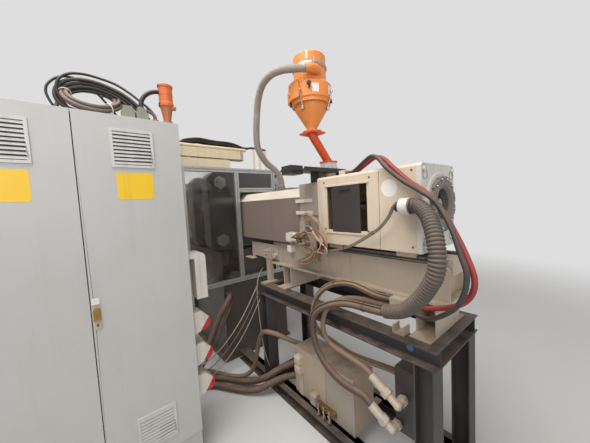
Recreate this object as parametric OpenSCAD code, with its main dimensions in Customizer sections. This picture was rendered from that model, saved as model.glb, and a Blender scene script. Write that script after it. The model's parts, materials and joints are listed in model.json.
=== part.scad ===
// Injection moulding machine: clamp unit behind a guard, injection unit on a steel frame,
// material loader on a sliding foot, electrical cabinet, junction box and hoses.
// Millimetres. X runs along the machine towards the drive end of the injection unit, Y across
// it, Z up. The origin lies on the floor, under the machine's axis, in the plane of the fixed
// platen's injection face.

/* [Heights] */
// Top of the steel support frame above the floor
frame_h = 944; // [900:1:1000]
// Height of the pedestals between the frame and the injection bed
pedestal_h = 173; // [140:1:220]
// Thickness of the injection bed's base plate
base_plate_t = 16; // [10:1:25]
// Height of the injection bed's trough
trough_h = 178; // [140:1:220]
// Height of the guide rails
rail_h = 34; // [26:1:44]
// Gap between the guide rails and the floor of the drive housing
shoe_h = 29; // [20:1:40]
// Height of the injection axis above the floor of the drive housing
axis_up = 238; // [225:1:255]

/* [Clamp unit] */
// Width of the three platens
platen_w = 940; // [880:5:980]
// Height of the three platens
platen_h = 820; // [780:5:860]
// Thickness of the fixed platen
fixed_t = 180; // [150:5:220]
// Thickness of the moving platen
moving_t = 150; // [120:5:190]
// Thickness of the end platen
end_t = 200; // [160:5:240]
// Thickness of each mould half
mould_t = 160; // [120:5:200]
// Width of the mould
mould_w = 460; // [380:5:520]
// Height of the mould
mould_h = 400; // [320:5:460]
// Opening stroke of the moving platen
clamp_stroke = 450; // [300:10:500]
// Radius of a tie bar
tie_r = 37.5; // [30:0.5:45]
// Distance of the tie bars from the axis, sideways
tie_y = 360; // [330:1:380]
// Distance of the tie bars from the axis, up and down
tie_z = 300; // [270:1:320]
// Across the flats of a tie bar nut
tie_nut_af = 120; // [100:1:130]
// Length of a tie bar nut
tie_nut_l = 58; // [40:1:70]
// Radius of the clamp ram
ram_r = 100; // [80:1:120]
// Radius of the clamp cylinder
clamp_cyl_r = 190; // [165:1:220]
// Length of the clamp cylinder behind the end platen
clamp_cyl_l = 750; // [700:10:800]
// Width of the clamp unit's bed
clamp_bed_w = 800; // [700:10:860]
// Thickness of the sliding pads under the platens
pad_t = 20; // [12:1:30]

/* [Guard] */
// Side of the square guard profile
profile_w = 45; // [40:1:50]
// Width of the slot in each side of the profile
slot_w = 8; // [6:0.5:10]
// Place of the guard wall along the machine
wall_x = 150; // [140:1:160]
// Half the width of the guard
guard_half_w = 760; // [700:5:800]
// Height of the guard's bottom rail at its middle
guard_low_z = 890; // [860:1:920]
// Height of the guard's top rail at its middle
guard_top_z = 2025; // [1990:1:2070]
// Height of the rail above the barrel cover at its middle
guard_mid_z = 1825; // [1815:1:1870]
// Height of the far side's top rail at its middle
guard_far_z = 1750; // [1650:1:1780]
// Half the width of the opening for the barrel cover
guard_gap_y = 225; // [212:1:250]
// Travel of the sliding guard door
door_travel = 900; // [600:10:1000]

/* [Injection bed] */
// Right end of the injection bed
bed_x1 = 2126; // [2100:1:2160]
// Left end of the injection bed
bed_x0 = 640; // [600:5:680]
// Half the width of the injection bed
bed_half_w = 128; // [115:1:140]
// Wall thickness of the injection bed
bed_wall = 12; // [8:1:16]
// Half the width of the bed's base plate
base_half_w = 165; // [150:1:175]
// Width of a guide rail
rail_w = 34; // [28:1:40]

/* [Drive housing] */
// Left end of the drive housing
house_x0 = 1323; // [1310:1:1335]
// Outer face of the end plate
house_x1 = 2031; // [2015:1:2045]
// Half the width of the drive housing
house_half_w = 201; // [190:1:210]
// Height of the drive housing
house_h = 447; // [430:1:470]
// Wall thickness of the drive housing
house_wall = 10; // [8:1:14]
// Thickness of the end plate
end_plate_t = 25; // [18:1:32]
// Left edge of the inspection window
window_x0 = 1410; // [1395:1:1425]
// Width of the inspection window
window_w = 312; // [290:1:320]
// Bottom edge of the window above the housing floor
window_up = 96; // [80:1:110]
// Height of the inspection window
window_h = 282; // [260:1:300]
// Width of the sliding shutter
shutter_w = 220; // [200:1:240]
// Outer radius of the scalloped drive flange
flange_r = 145; // [135:1:155]
// Bore radius of the drive flange
flange_bore_r = 96; // [90:1:104]
// Radius of the drive shank at the back of the screw
shank_r = 30; // [26:1:34]

/* [Barrel] */
// Outer radius of the barrel
barrel_r = 60; // [54:1:66]
// Bore radius of the barrel
barrel_bore_r = 25.2; // [22.2:0.5:27.2]
// Left end of the barrel cover
cover_x0 = 20; // [10:1:40]
// Left face of the feed block and right end of the barrel cover
feed_x0 = 1110; // [1095:1:1125]
// Half the width of the barrel cover
cover_half_w = 179; // [170:1:190]
// Bottom edge of the barrel cover below the axis
cover_down = 278; // [250:1:290]
// Top of the barrel cover above the axis
cover_up = 163; // [150:1:180]
// Half the width of the feed block
feed_half_w = 185; // [175:1:195]

/* [Loader] */
// Place of the feed throat along the machine
throat_x = 1250; // [1240:1:1260]
// Radius of the feed throat
throat_r = 35; // [30:1:40]
// Sideways shift of the loader from the throat
loader_dy = -155; // [-175:1:-140]
// Height of the chute between its flanges
chute_h = 180; // [150:1:210]
// Radius of the loader's lower drum and of its head
drum_r = 113; // [100:1:125]
// Radius of the loader's middle body
loader_mid_r = 145; // [135:1:155]

/* [Frame] */
// Left end of the steel frame
frame_x0 = 595; // [580:1:610]
// Right end of the steel frame
frame_x1 = 2124; // [2110:1:2140]
// Half the width of the steel frame
frame_half_w = 285; // [275:1:300]
// Depth of the H sections
beam_h = 96; // [90:1:110]
// Width of the H sections
beam_w = 100; // [90:1:110]
// Flange thickness of the H sections
beam_tf = 8; // [6:0.5:12]
// Web thickness of the H sections
beam_tw = 5; // [4:0.5:8]
// Radius of the floor anchor holes
anchor_r = 9; // [7:0.5:11]

/* [Electrical cabinet] */
// Front face of the cabinet doors
cab_x1 = 940; // [920:1:960]
// Depth of the cabinet
cab_depth = 500; // [450:1:520]
// Width of the cabinet
cab_w = 1000; // [960:1:1040]
// Side of the cabinet that faces the machine
cab_y1 = -974; // [-990:1:-960]
// Height of the plinth
plinth_h = 200; // [150:1:220]
// Height of the cabinet's roof
cab_h = 2175; // [2150:1:2230]
// Thickness of a cabinet door
door_t = 18; // [14:1:24]
// Side of a door's square ventilation grille
grille_w = 204; // [180:1:220]
// Height of the first power socket's middle
socket_z = 880; // [850:1:900]
// Spacing of the power sockets
socket_pitch = 215; // [205:1:240]

/* [Junction box] */
// Left face of the junction box
jbox_x0 = 980; // [960:1:1000]
// Length of the junction box
jbox_l = 600; // [560:1:640]
// Height of the junction box
jbox_h = 380; // [340:1:400]
// Depth of the junction box
jbox_d = 210; // [180:1:230]

/* [Hidden] */
$fn = 48;

// Clearances: running fit, seat of pieces on different bodies, slip fit on one body
run = 0.05;
seat = 0.3;
slip = 0.2;

// Heights that follow from the stack of parts
bed_base_z = frame_h + pedestal_h;
bed_z0 = bed_base_z + base_plate_t;
bed_z1 = bed_z0 + trough_h;
rail_z1 = bed_z1 + rail_h;
house_z0 = rail_z1 + shoe_h;
axis_z = house_z0 + axis_up;
house_z1 = house_z0 + house_h;
feed_z1 = house_z1 - 26;

// Places along the clamp unit, from the fixed platen towards the clamp cylinder
part_x = -fixed_t - mould_t;
moving_x1 = part_x - mould_t;
moving_x0 = moving_x1 - moving_t;
end_x1 = moving_x0 - clamp_stroke - 200;
end_x0 = end_x1 - end_t;
clamp_bed_x0 = end_x0 - clamp_cyl_l - 50;
clamp_bed_x1 = 60;
clamp_top = axis_z - platen_h / 2 - pad_t;

// The panes sit in the slots of the guard profile
pane_t = slot_w - 2 * seat;

// Repeated shapes

// Cylinder along X from x0 to x1
module xcyl(x0, x1, r, y = 0, z = 0, r2 = -1, n = 48) {
  translate([x0, y, z]) rotate([0, 90, 0])
    cylinder(h = x1 - x0, r1 = r, r2 = r2 < 0 ? r : r2, $fn = n);
}

// Cylinder along Y from y0 to y1
module ycyl(y0, y1, r, x = 0, z = 0, r2 = -1, n = 48) {
  translate([x, y0, z]) rotate([-90, 0, 0])
    cylinder(h = y1 - y0, r1 = r, r2 = r2 < 0 ? r : r2, $fn = n);
}

// Box between two corners
module box(a, b) {
  translate(a) cube(b - a);
}

// H section outline with its web upright, centred on the origin
module h_outline(h, w, tf, tw) {
  difference() {
    square([w, h], center = true);
    for (s = [-1, 1]) translate([s * (w / 2 + tw / 2) / 1, 0])
      square([w, h - 2 * tf], center = true);
  }
}

// H beam along X, its lower face at z
module h_beam_x(x0, x1, y, z) {
  translate([x0, y, z + beam_h / 2]) rotate([90, 0, 90])
    linear_extrude(x1 - x0) h_outline(beam_h, beam_w, beam_tf, beam_tw);
}

// H beam along Y, its lower face at z
module h_beam_y(y0, y1, x, z) {
  translate([x, y1, z + beam_h / 2]) rotate([90, 0, 0])
    linear_extrude(y1 - y0) h_outline(beam_h, beam_w, beam_tf, beam_tw);
}

// H post with its flanges square to X
module h_post(x, y, z0, z1) {
  translate([x, y, z0]) rotate([0, 0, 90])
    linear_extrude(z1 - z0) h_outline(beam_h, beam_w, beam_tf, beam_tw);
}

// Slotted guard profile, centred on the origin, along Z
module profile_outline() {
  depth = profile_w * 0.22;
  difference() {
    square(profile_w, center = true);
    for (a = [0:90:270]) rotate(a) translate([profile_w / 2 - depth, -slot_w / 2])
      square([depth + 1, slot_w]);
  }
}
module profile_z(x, y, z0, z1) {
  translate([x, y, z0]) linear_extrude(z1 - z0) profile_outline();
}
module profile_y(x, y0, y1, z) {
  translate([x, y1, z]) rotate([90, 0, 0]) linear_extrude(y1 - y0) profile_outline();
}
module profile_x(x0, x1, y, z) {
  translate([x0, y, z]) rotate([90, 0, 90]) linear_extrude(x1 - x0) profile_outline();
}

// Round tube swept along a cord's route: a smooth curve through the points, then rings
function curve_at(a, b, c, d, t) =
  0.5 * (2 * b + (c - a) * t + (2 * a - 5 * b + 4 * c - d) * t * t
  + (3 * b - a - 3 * c + d) * t * t * t);
function route(p, n) = [
  for (i = [0:len(p) - 2], k = [0:n - 1])
    curve_at(p[max(i - 1, 0)], p[i], p[i + 1], p[min(i + 2, len(p) - 1)], k / n),
  p[len(p) - 1]
];
function unit(v) = v / norm(v);
// The route with both ends drawn back a little from the fittings they butt against
function trimmed(p) = let (e = len(p) - 1) [
  for (i = [0:e]) i == 0 ? p[0] + slip * unit(p[1] - p[0])
                : i == e ? p[e] - slip * unit(p[e] - p[e - 1]) : p[i]
];
// Directions along the rings: the ends lie square to the route's first and last stretch
function tangents(q, p) = let (l = len(q) - 1, e = len(p) - 1) [
  for (i = [0:l]) unit(i == 0 ? p[1] - p[0] : i == l ? p[e] - p[e - 1] : q[i + 1] - q[i - 1])
];
function flat_to(n, t) = unit(n - (n * t) * t);
function first_normal(t) = flat_to(abs(t[2]) < 0.9 ? [0, 0, 1] : [1, 0, 0], t);
function normals(t) = [
  for (i = 0, n = first_normal(t[0]); i < len(t);
       i = i + 1, n = i < len(t) ? flat_to(n, t[i]) : n) n
];
module tube(p, r, n = 2, sides = 8) {
  q = route(trimmed(p), n);
  t = tangents(q, p);
  m = normals(t);
  rings = len(q);
  points = [
    for (i = [0:rings - 1], k = [0:sides - 1])
      q[i] + r * (cos(360 * k / sides) * m[i] + sin(360 * k / sides) * cross(t[i], m[i]))
  ];
  walls = [
    for (i = [0:rings - 2], k = [0:sides - 1])
      let (a = i * sides + k, b = i * sides + (k + 1) % sides)
        each [[a, b, a + sides], [b, b + sides, a + sides]]
  ];
  caps = [
    [for (k = [0:sides - 1]) sides - 1 - k],
    [for (k = [0:sides - 1]) (rings - 1) * sides + k]
  ];
  polyhedron(points, [for (f = concat(walls, caps)) [for (i = [len(f) - 1:-1:0]) f[i]]]);
}

// Clamp unit

// Left edge of each recessed panel in the sides of the clamp bed
function panel_x(k) = clamp_bed_x0 + 90 + k * 560;

module clamp_bed() {
  foot = 40;
  deep = 60;
  chute = [part_x - mould_t, -fixed_t - 20];
  color("#b9b5a6") difference() {
    union() {
      box([clamp_bed_x0, -clamp_bed_w / 2, 0], [clamp_bed_x1, clamp_bed_w / 2, clamp_top]);
      box([clamp_bed_x0 - foot, -clamp_bed_w / 2 - foot, 0],
          [clamp_bed_x1, clamp_bed_w / 2 + foot, 25]);
    }
    for (s = [-1, 1], k = [0:2]) translate([panel_x(k), s * clamp_bed_w / 2 - deep, 140])
      cube([480, 2 * deep, clamp_top - 240]);
    box([chute[0], -260, 420], [chute[1], 260, clamp_top + 1]);
    box([chute[0], 259, 420], [chute[1], clamp_bed_w / 2 + 1, 900]);
  }
}

module platen_plate(x0, x1) {
  edge = 60;
  translate([x0, 0, axis_z]) rotate([90, 0, 90]) linear_extrude(x1 - x0) difference() {
    polygon([
      for (s = [[1, 1], [-1, 1], [-1, -1], [1, -1]], k = [0, 1])
        let (first = s[0] * s[1] > 0 ? k : 1 - k)
          [s[0] * (platen_w / 2 - (first ? edge : 0)),
           s[1] * (platen_h / 2 - (first ? 0 : edge))]
    ]);
    for (y = [-1, 1], z = [-1, 1]) translate([y * tie_y, z * tie_z]) circle(tie_r + slip);
  }
}

module fixed_platen() {
  color("#4a4b4c") difference() {
    union() {
      platen_plate(-fixed_t, 0);
      for (s = [-1, 1]) box([-fixed_t + 10, s * platen_w / 4 - 90, clamp_top],
                            [-10, s * platen_w / 4 + 90, clamp_top + pad_t]);
    }
    xcyl(-90, 1, 80, z = axis_z, r2 = 170);
    xcyl(-fixed_t - 1, -89, 80, z = axis_z);
  }
}

module moving_platen() {
  color("#55585a") difference() {
    union() {
      platen_plate(moving_x0, moving_x1);
      for (s = [-1, 1]) box([moving_x0 - 40, s * platen_w / 4 - 90, clamp_top + seat],
                            [moving_x1, s * platen_w / 4 + 90, clamp_top + pad_t]);
    }
    xcyl(moving_x0 - 1, moving_x1 + 1, 25, z = axis_z);
  }
}

module end_platen() {
  back = end_x0 - clamp_cyl_l;
  color("#b9b5a6") difference() {
    union() {
      platen_plate(end_x0, end_x1);
      xcyl(back, end_x0, clamp_cyl_r, z = axis_z);
      xcyl(back - 30, back, clamp_cyl_r - 25, z = axis_z);
      xcyl(end_x0 - 40, end_x0, clamp_cyl_r + 25, z = axis_z);
      for (s = [-1, 1]) box([end_x0 + 10, s * platen_w / 4 - 90, clamp_top],
                            [end_x1 - 10, s * platen_w / 4 + 90, clamp_top + pad_t]);
    }
    xcyl(back + 20, end_x1 + 1, ram_r + run, z = axis_z);
  }
}

module tie_bars() {
  color("#a9adb0") for (y = [-1, 1], z = [-1, 1])
    translate([0, y * tie_y, axis_z + z * tie_z]) {
      xcyl(end_x0 - tie_nut_l - 20, tie_nut_l + 20, tie_r);
      for (x = [end_x0 - tie_nut_l, 0]) xcyl(x, x + tie_nut_l, tie_nut_af / 2 / cos(30), n = 6);
    }
}

module clamp_ram() {
  rear = end_x0 - clamp_cyl_l + 40 + clamp_stroke;
  color("#c4c7c9") difference() {
    union() {
      xcyl(rear, moving_x0, ram_r, z = axis_z);
      xcyl(moving_x0 - 40, moving_x0, ram_r + 60, z = axis_z);
    }
    xcyl(moving_x0 - 200, moving_x0 + 1, 60, z = axis_z);
  }
}

module ejector() {
  color("#9a9da0") {
    xcyl(moving_x0 - 110, moving_x0 - 80, 60 - run, z = axis_z);
    xcyl(moving_x0 - 80, moving_x1 + 30, 20, z = axis_z);
  }
}

module mould_fixed_half() {
  color("#9c2f2c") difference() {
    union() {
      box([part_x, -mould_w / 2, axis_z - mould_h / 2],
          [-fixed_t - 30, mould_w / 2, axis_z + mould_h / 2]);
      box([-fixed_t - 30, -mould_w / 2 - 30, axis_z - mould_h / 2],
          [-fixed_t, mould_w / 2 + 30, axis_z + mould_h / 2]);
      xcyl(-fixed_t, -fixed_t + 18, 79, z = axis_z);
      ycyl(-mould_w / 2 - 215, -mould_w / 2, 33, x = (part_x - fixed_t) / 2, z = axis_z + 40);
      ycyl(-mould_w / 2 - 40, -mould_w / 2, 45, x = (part_x - fixed_t) / 2, z = axis_z + 40);
    }
    xcyl(-fixed_t - 12, -fixed_t + 19, 5, z = axis_z, r2 = 24);
  }
}

module mould_moving_half() {
  color("#8f8a80") difference() {
    union() {
      box([moving_x1 + 30, -mould_w / 2, axis_z - mould_h / 2],
          [part_x - seat, mould_w / 2, axis_z + mould_h / 2]);
      box([moving_x1, -mould_w / 2 - 30, axis_z - mould_h / 2],
          [moving_x1 + 30, mould_w / 2 + 30, axis_z + mould_h / 2]);
    }
    xcyl(moving_x1 - 1, moving_x1 + 110, 25, z = axis_z);
  }
}

// Guard

guard_x0 = clamp_bed_x0 - 120;
guard_mid_x = moving_x0 - 350;
half_p = profile_w / 2;
track_z0 = guard_low_z + half_p + 20;
track_z1 = guard_top_z - half_p - 20;
door_y1 = -guard_half_w - half_p - seat;
door_y0 = door_y1 - 30;

module guard_frame() {
  w = guard_half_w;
  color("#b4b6b4") {
    // Posts that stand on the floor
    for (x = [wall_x, guard_mid_x, guard_x0]) {
      profile_z(x, -w, 0, guard_top_z + half_p);
      profile_z(x, w, 0, guard_far_z + half_p);
    }
    // Rails of the wall across the machine
    profile_y(wall_x, -w + half_p, w - half_p, guard_low_z);
    profile_y(wall_x, -w + half_p, guard_gap_y + half_p, guard_top_z);
    profile_y(wall_x, -guard_gap_y + half_p, guard_gap_y - half_p, guard_mid_z);
    profile_y(wall_x, guard_gap_y + half_p, w - half_p, guard_far_z);
    for (s = [-1, 1])
      profile_z(wall_x, s * guard_gap_y, guard_low_z + half_p, guard_top_z - half_p);
    // Rails of the two sides and the rear
    for (x = [[guard_x0, guard_mid_x], [guard_mid_x, wall_x]]) {
      for (z = [guard_low_z, guard_top_z]) profile_x(x[0] + half_p, x[1] - half_p, -w, z);
      for (z = [guard_low_z, guard_far_z]) profile_x(x[0] + half_p, x[1] - half_p, w, z);
    }
    for (z = [guard_low_z, guard_far_z]) profile_y(guard_x0, -w + half_p, w - half_p, z);
    // Arms from the low rails to the plain strips of the clamp bed's sides
    for (x = [panel_x(1) - 40, panel_x(2) - 40, -60]) {
      profile_y(x, -w + half_p, -clamp_bed_w / 2 - slip, guard_low_z);
      profile_y(x, clamp_bed_w / 2 + slip, w - half_p, guard_low_z);
    }
    // Door tracks along the near side, above and below the door
    for (z = [track_z0, track_z1]) let (s = z == track_z0 ? -1 : 1, lip = 8) {
      box([guard_mid_x - door_travel, door_y0 - seat - lip, z + min(s * seat, s * (seat + lip))],
          [wall_x + half_p, -w - half_p, z + max(s * seat, s * (seat + lip))]);
      box([guard_mid_x - door_travel, door_y0 - seat - lip, z - (s > 0 ? 12 : seat + lip)],
          [wall_x + half_p, door_y0 - seat, z + (s > 0 ? seat + lip : 12)]);
    }
  }
}

module pane_x(x, y0, y1, z0, z1) {
  g = 6;
  box([x - pane_t / 2, y0 - g, z0 - g], [x + pane_t / 2, y1 + g, z1 + g]);
}
module pane_y(y, x0, x1, z0, z1) {
  g = 6;
  box([x0 - g, y - pane_t / 2, z0 - g], [x1 + g, y + pane_t / 2, z1 + g]);
}

module guard_panes() {
  w = guard_half_w - half_p;
  low = guard_low_z + half_p;
  color("#9fa6a6", 0.4) {
    pane_x(wall_x, -w, -guard_gap_y - half_p, low, guard_top_z - half_p);
    pane_x(wall_x, -guard_gap_y + half_p, guard_gap_y - half_p, guard_mid_z + half_p,
           guard_top_z - half_p);
    pane_x(wall_x, guard_gap_y + half_p, w, low, guard_far_z - half_p);
    pane_x(guard_x0, -w, w, low, guard_far_z - half_p);
    pane_y(-guard_half_w, guard_x0 + half_p, guard_mid_x - half_p, low, guard_top_z - half_p);
    for (x = [[guard_x0, guard_mid_x], [guard_mid_x, wall_x]])
      pane_y(guard_half_w, x[0] + half_p, x[1] - half_p, low, guard_far_z - half_p);
  }
}

module guard_door() {
  x1 = wall_x - 10;
  x0 = guard_mid_x + 10;
  rim = 50;
  mid = (door_y0 + door_y1) / 2;
  color("#b4b6b4") {
    difference() {
      box([x0, door_y0, track_z0], [x1, door_y1, track_z1]);
      box([x0 + rim, door_y0 - 1, track_z0 + rim], [x1 - rim, door_y1 + 1, track_z1 - rim]);
    }
    box([x0 + rim, mid - pane_t / 2, track_z0 + rim], [x1 - rim, mid + pane_t / 2, track_z1 - rim]);
    // Pull handle
    for (z = [1380, 1520]) box([x0 + 15, door_y0 - 40, z], [x0 + 35, door_y0, z + 20]);
    box([x0 + 15, door_y0 - 55, 1380], [x0 + 35, door_y0 - 40, 1540]);
  }
}

module guard_ducts() {
  top = guard_top_z + half_p;
  x1 = wall_x + half_p;
  low_h = 78;
  high_h = 86;
  color("#cbbfa3") {
    // Lower cable duct on the top rail
    box([x1 - 112, -guard_half_w, top], [x1, -287, top + low_h]);
    // Upper duct with a pointed end, on two blocks
    translate([0, 0, top + low_h + 14]) linear_extrude(high_h) polygon([
      [x1 - 130, -guard_half_w - 30], [x1 - 10, -guard_half_w - 30], [x1 - 10, -160],
      [x1 - 60, -99], [x1 - 130, -99]
    ]);
    for (y = [-700, -340])
      box([x1 - 100, y, top + low_h], [x1 - 30, y + 40, top + low_h + 14]);
    // Cable looms that lie on the upper duct
    for (k = [0:2]) ycyl(-guard_half_w - 20, -150 + k * 30, 17, x = x1 - 106 + k * 38,
                         z = top + low_h + 14 + high_h + 17, n = 16);
    // Thin upright pipes on the top rail
    for (k = [0:2]) translate([wall_x, 5 + k * 75, top]) cylinder(h = 215, r = 11, $fn = 24);
  }
}

// Injection bed and what stands on the frame

pedestal_x = [800, 1967];
pedestal_l = 107;
port_x = [1850, 1930];

module injection_bed() {
  corner = 30;
  flange_w = 52;
  flange_t = 14;
  color("#b3a690") {
    // Base plate and the two side walls, rounded at the top of the right end
    box([bed_x0, -base_half_w, bed_base_z], [bed_x1, base_half_w, bed_z0]);
    for (s = [-1, 1]) translate([0, s > 0 ? bed_half_w : -bed_half_w + bed_wall, 0])
      rotate([90, 0, 0]) linear_extrude(bed_wall) difference() {
        translate([bed_x0, bed_z0]) square([bed_x1 - bed_x0, trough_h]);
        translate([bed_x1 - corner, bed_z1 - corner]) difference() {
          square(corner + 1);
          circle(corner, $fn = 48);
        }
      }
    // Inner flanges under the rails, cross walls and the end stop
    for (s = [-1, 1]) box([bed_x0, min(s * bed_half_w, s * (bed_half_w - flange_w)), bed_z1 - flange_t],
                          [bed_x1 - corner, max(s * bed_half_w, s * (bed_half_w - flange_w)), bed_z1]);
    for (x = [bed_x0, bed_x1 - 60]) box([x, -bed_half_w + bed_wall, bed_z0],
                                        [x + bed_wall, bed_half_w - bed_wall, bed_z1 - flange_t]);
    box([bed_x1 - 96, -70, bed_z1 - 60], [bed_x1 - 6, 70, bed_z1 + 24]);
    box([bed_x1 - 96, -bed_half_w + bed_wall, bed_z1 - 60],
        [bed_x1 - 60, bed_half_w - bed_wall, bed_z1 - flange_t]);
    // Pedestals: two upright plates joined by a web
    for (x = pedestal_x) {
      for (k = [0, pedestal_l - 10])
        box([x + k, -base_half_w + 15, frame_h], [x + k + 10, base_half_w - 15, bed_base_z]);
      box([x, -4, frame_h], [x + pedestal_l, 4, bed_base_z]);
      box([x, -frame_half_w + beam_w - 40, frame_h],
          [x + pedestal_l, frame_half_w - beam_w + 40, frame_h + 8]);
    }
    // Port block under the base plate, for the hoses
    box([port_x[0], -205, bed_base_z - 90], [port_x[1], -125, bed_base_z]);
    // Channel offcut that clamps the near beam
    difference() {
      box([1886, -frame_half_w + 40, frame_h], [1950, -frame_half_w + 105, frame_h + 46]);
      box([1894, -frame_half_w + 39, frame_h + 8], [1942, -frame_half_w + 106, frame_h + 47]);
    }
  }
}

module guide_rails() {
  y = bed_half_w - 7 - rail_w / 2;
  color("#6d6a66") for (s = [-1, 1]) translate([bed_x0 + 10, s * y, bed_z1])
    rotate([90, 0, 90]) linear_extrude(bed_x1 - bed_x0 - 48) polygon([
      [-rail_w / 2, 0], [rail_w / 2, 0], [rail_w / 2, rail_h * 0.35],
      [rail_w / 2 - 5, rail_h * 0.5], [rail_w / 2, rail_h * 0.65], [rail_w / 2, rail_h],
      [-rail_w / 2, rail_h], [-rail_w / 2, rail_h * 0.65], [-rail_w / 2 + 5, rail_h * 0.5],
      [-rail_w / 2, rail_h * 0.35]
    ]);
}

// Shoe that rides on both rails between x0 and x1, fused to the floor of its carrier
module rail_shoes(x0, x1) {
  y = bed_half_w - 7 - rail_w / 2;
  for (s = [-1, 1]) difference() {
    box([x0, s * y - rail_w / 2 - 12, bed_z1 + rail_h * 0.7],
        [x1, s * y + rail_w / 2 + 12, house_z0 + 1]);
    box([x0 - 1, s * y - rail_w / 2 - seat, bed_z1], [x1 + 1, s * y + rail_w / 2 + seat, rail_z1 + seat]);
  }
}

cyl_z = bed_z0 + 90;

module carriage_cylinder() {
  color("#7c7f80") {
    difference() {
      xcyl(1000, 1400, 42, z = cyl_z);
      xcyl(1020, 1401, 18 + run, z = cyl_z);
    }
    for (x = [1010, 1330]) difference() {
      box([x, -50, bed_z0], [x + 50, 50, cyl_z]);
      xcyl(x - 1, x + 51, 42, z = cyl_z);
    }
  }
}

module side_plate() {
  y1 = -bed_half_w;
  x0 = 255;
  color("#c9b391") {
    difference() {
      box([x0, y1 - 12, bed_z0 + 17], [720, y1, bed_z0 + 155]);
      for (x = [300, 420, 540], z = [45, 120])
        ycyl(y1 - 13, y1 + 1, 5, x = x, z = bed_z0 + z, n = 24);
    }
    // Fittings block with small couplings
    box([560, y1 - 52, bed_z0 + 20], [bed_x0 + 10, y1 - 12, bed_z0 + 120]);
    for (x = [580, 630], z = [40, 70, 100])
      ycyl(y1 - 75, y1 - 52, 8, x = x, z = bed_z0 + z, n = 6);
    // Round inspection boss, tray and the column down to the frame
    ycyl(y1 - 45, y1 - 12, 24, x = 690, z = bed_z0 + 60);
    box([180, y1 - 60, bed_z0 - 12], [330, y1, bed_z0 - 4]);
    box([x0, y1 - 12, bed_z0 - 4], [x0 + 40, y1, bed_z0 + 17]);
    box([bed_x0 - 64, y1 - 52, frame_h + 10], [bed_x0 - 8, y1 - 12, bed_z0 + 20]);
    box([frame_x0, -frame_half_w + 20, frame_h], [bed_x0 + 20, y1 + 10, frame_h + 10]);
  }
}

// Injection carriage

wz0 = house_z0 + window_up;
wz1 = wz0 + window_h;
shutter_x0 = window_x0 + 46;
shutter_z0 = wz0 - 18;
shutter_z1 = wz1 + 4;
shutter_t = 3;

module drive_housing() {
  x1 = house_x1 - end_plate_t;
  w = house_half_w;
  t = house_wall;
  bevel = 14;
  y = -w;
  color("#cfc3ad") {
    difference() {
      union() {
        difference() {
          translate([house_x0, 0, 0]) rotate([90, 0, 90]) linear_extrude(x1 - house_x0) polygon([
            [-w, house_z0], [w, house_z0], [w, house_z1 - bevel], [w - bevel, house_z1],
            [-w + bevel, house_z1], [-w, house_z1 - bevel]
          ]);
          box([house_x0 + t, -w + t, house_z0 + t], [x1 - t, w - t, house_z1 - t]);
        }
        // Bearing wall inside, and the shoulder of the seam between the two casings
        box([hub_x0 - 1, -w + t - 1, house_z0 + t - 1], [hub_x0 + 24, w - t + 1, house_z1 - t + 1]);
        rail_shoes(house_x0 + 30, house_x0 + 140);
        rail_shoes(x1 - 150, x1 - 40);
        // Guides of the shutter above and below the window
        for (z = [shutter_z0 - seat - 6, shutter_z1 + seat])
          box([window_x0 - 15, y - shutter_t - 2 * seat, z], [window_x0 + window_w + 15, y, z + 6]);
        for (z = [shutter_z0 - seat - 6, shutter_z1 - 6])
          box([window_x0 - 15, y - shutter_t - 2 * seat - 3, z],
              [window_x0 + window_w + 15, y - shutter_t - 2 * seat, z + 12 + seat]);
        // Port block on the roof
        box([1430, -95, house_z1], [1480, -25, house_z1 + 40]);
      }
      box([window_x0, y - 1, wz0], [window_x0 + window_w, y + t + 1, wz1]);
      xcyl(house_x0 - 1, x1 - 100, shank_r + 1, z = axis_z);
      xcyl(hub_x0 - 2, hub_x0 + 25, hub_r + run, z = axis_z);
      xcyl(x1 - t - 1, x1 + 1, flange_bore_r, z = axis_z);
      // Seam groove round the casing
      difference() {
        box([1800, -w - 1, house_z0 - 1], [1803, w + 1, house_z1 + 1]);
        box([1799, -w + 2, house_z0 + 2], [1804, w - 2, house_z1 - 2]);
      }
    }
  }
}

hub_r = shank_r + 15;
hub_x0 = house_x1 - 150;
plate_bolts = [for (y = [-1, 1], z = [0, 1])
  [y * (house_half_w - 28), z ? house_z1 - 30 : house_z0 + 34]];

module end_plate() {
  x0 = house_x1 - end_plate_t;
  w = house_half_w;
  color("#c9c8c2") difference() {
    union() {
      translate([x0, 0, 0]) rotate([90, 0, 90]) linear_extrude(end_plate_t) polygon([
        [-w, house_z0], [w, house_z0], [w, house_z1 - 14], [w - 14, house_z1],
        [-w + 14, house_z1], [-w, house_z1 - 14]
      ]);
      xcyl(house_x1, house_x1 + 12, flange_r + 22, z = axis_z);
      for (b = plate_bolts) xcyl(house_x1, house_x1 + 9, 11, y = b[0], z = b[1], n = 6);
    }
    xcyl(x0 - 1, house_x1 + 13, flange_bore_r, z = axis_z);
    for (b = plate_bolts) difference() {
      xcyl(house_x1 - 4, house_x1 + 1, 24, y = b[0], z = b[1]);
      xcyl(house_x1 - 5, house_x1 + 2, 15, y = b[0], z = b[1]);
    }
  }
}

flange_x0 = house_x1 + 12;
flange_x1 = flange_x0 + 17;

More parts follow.
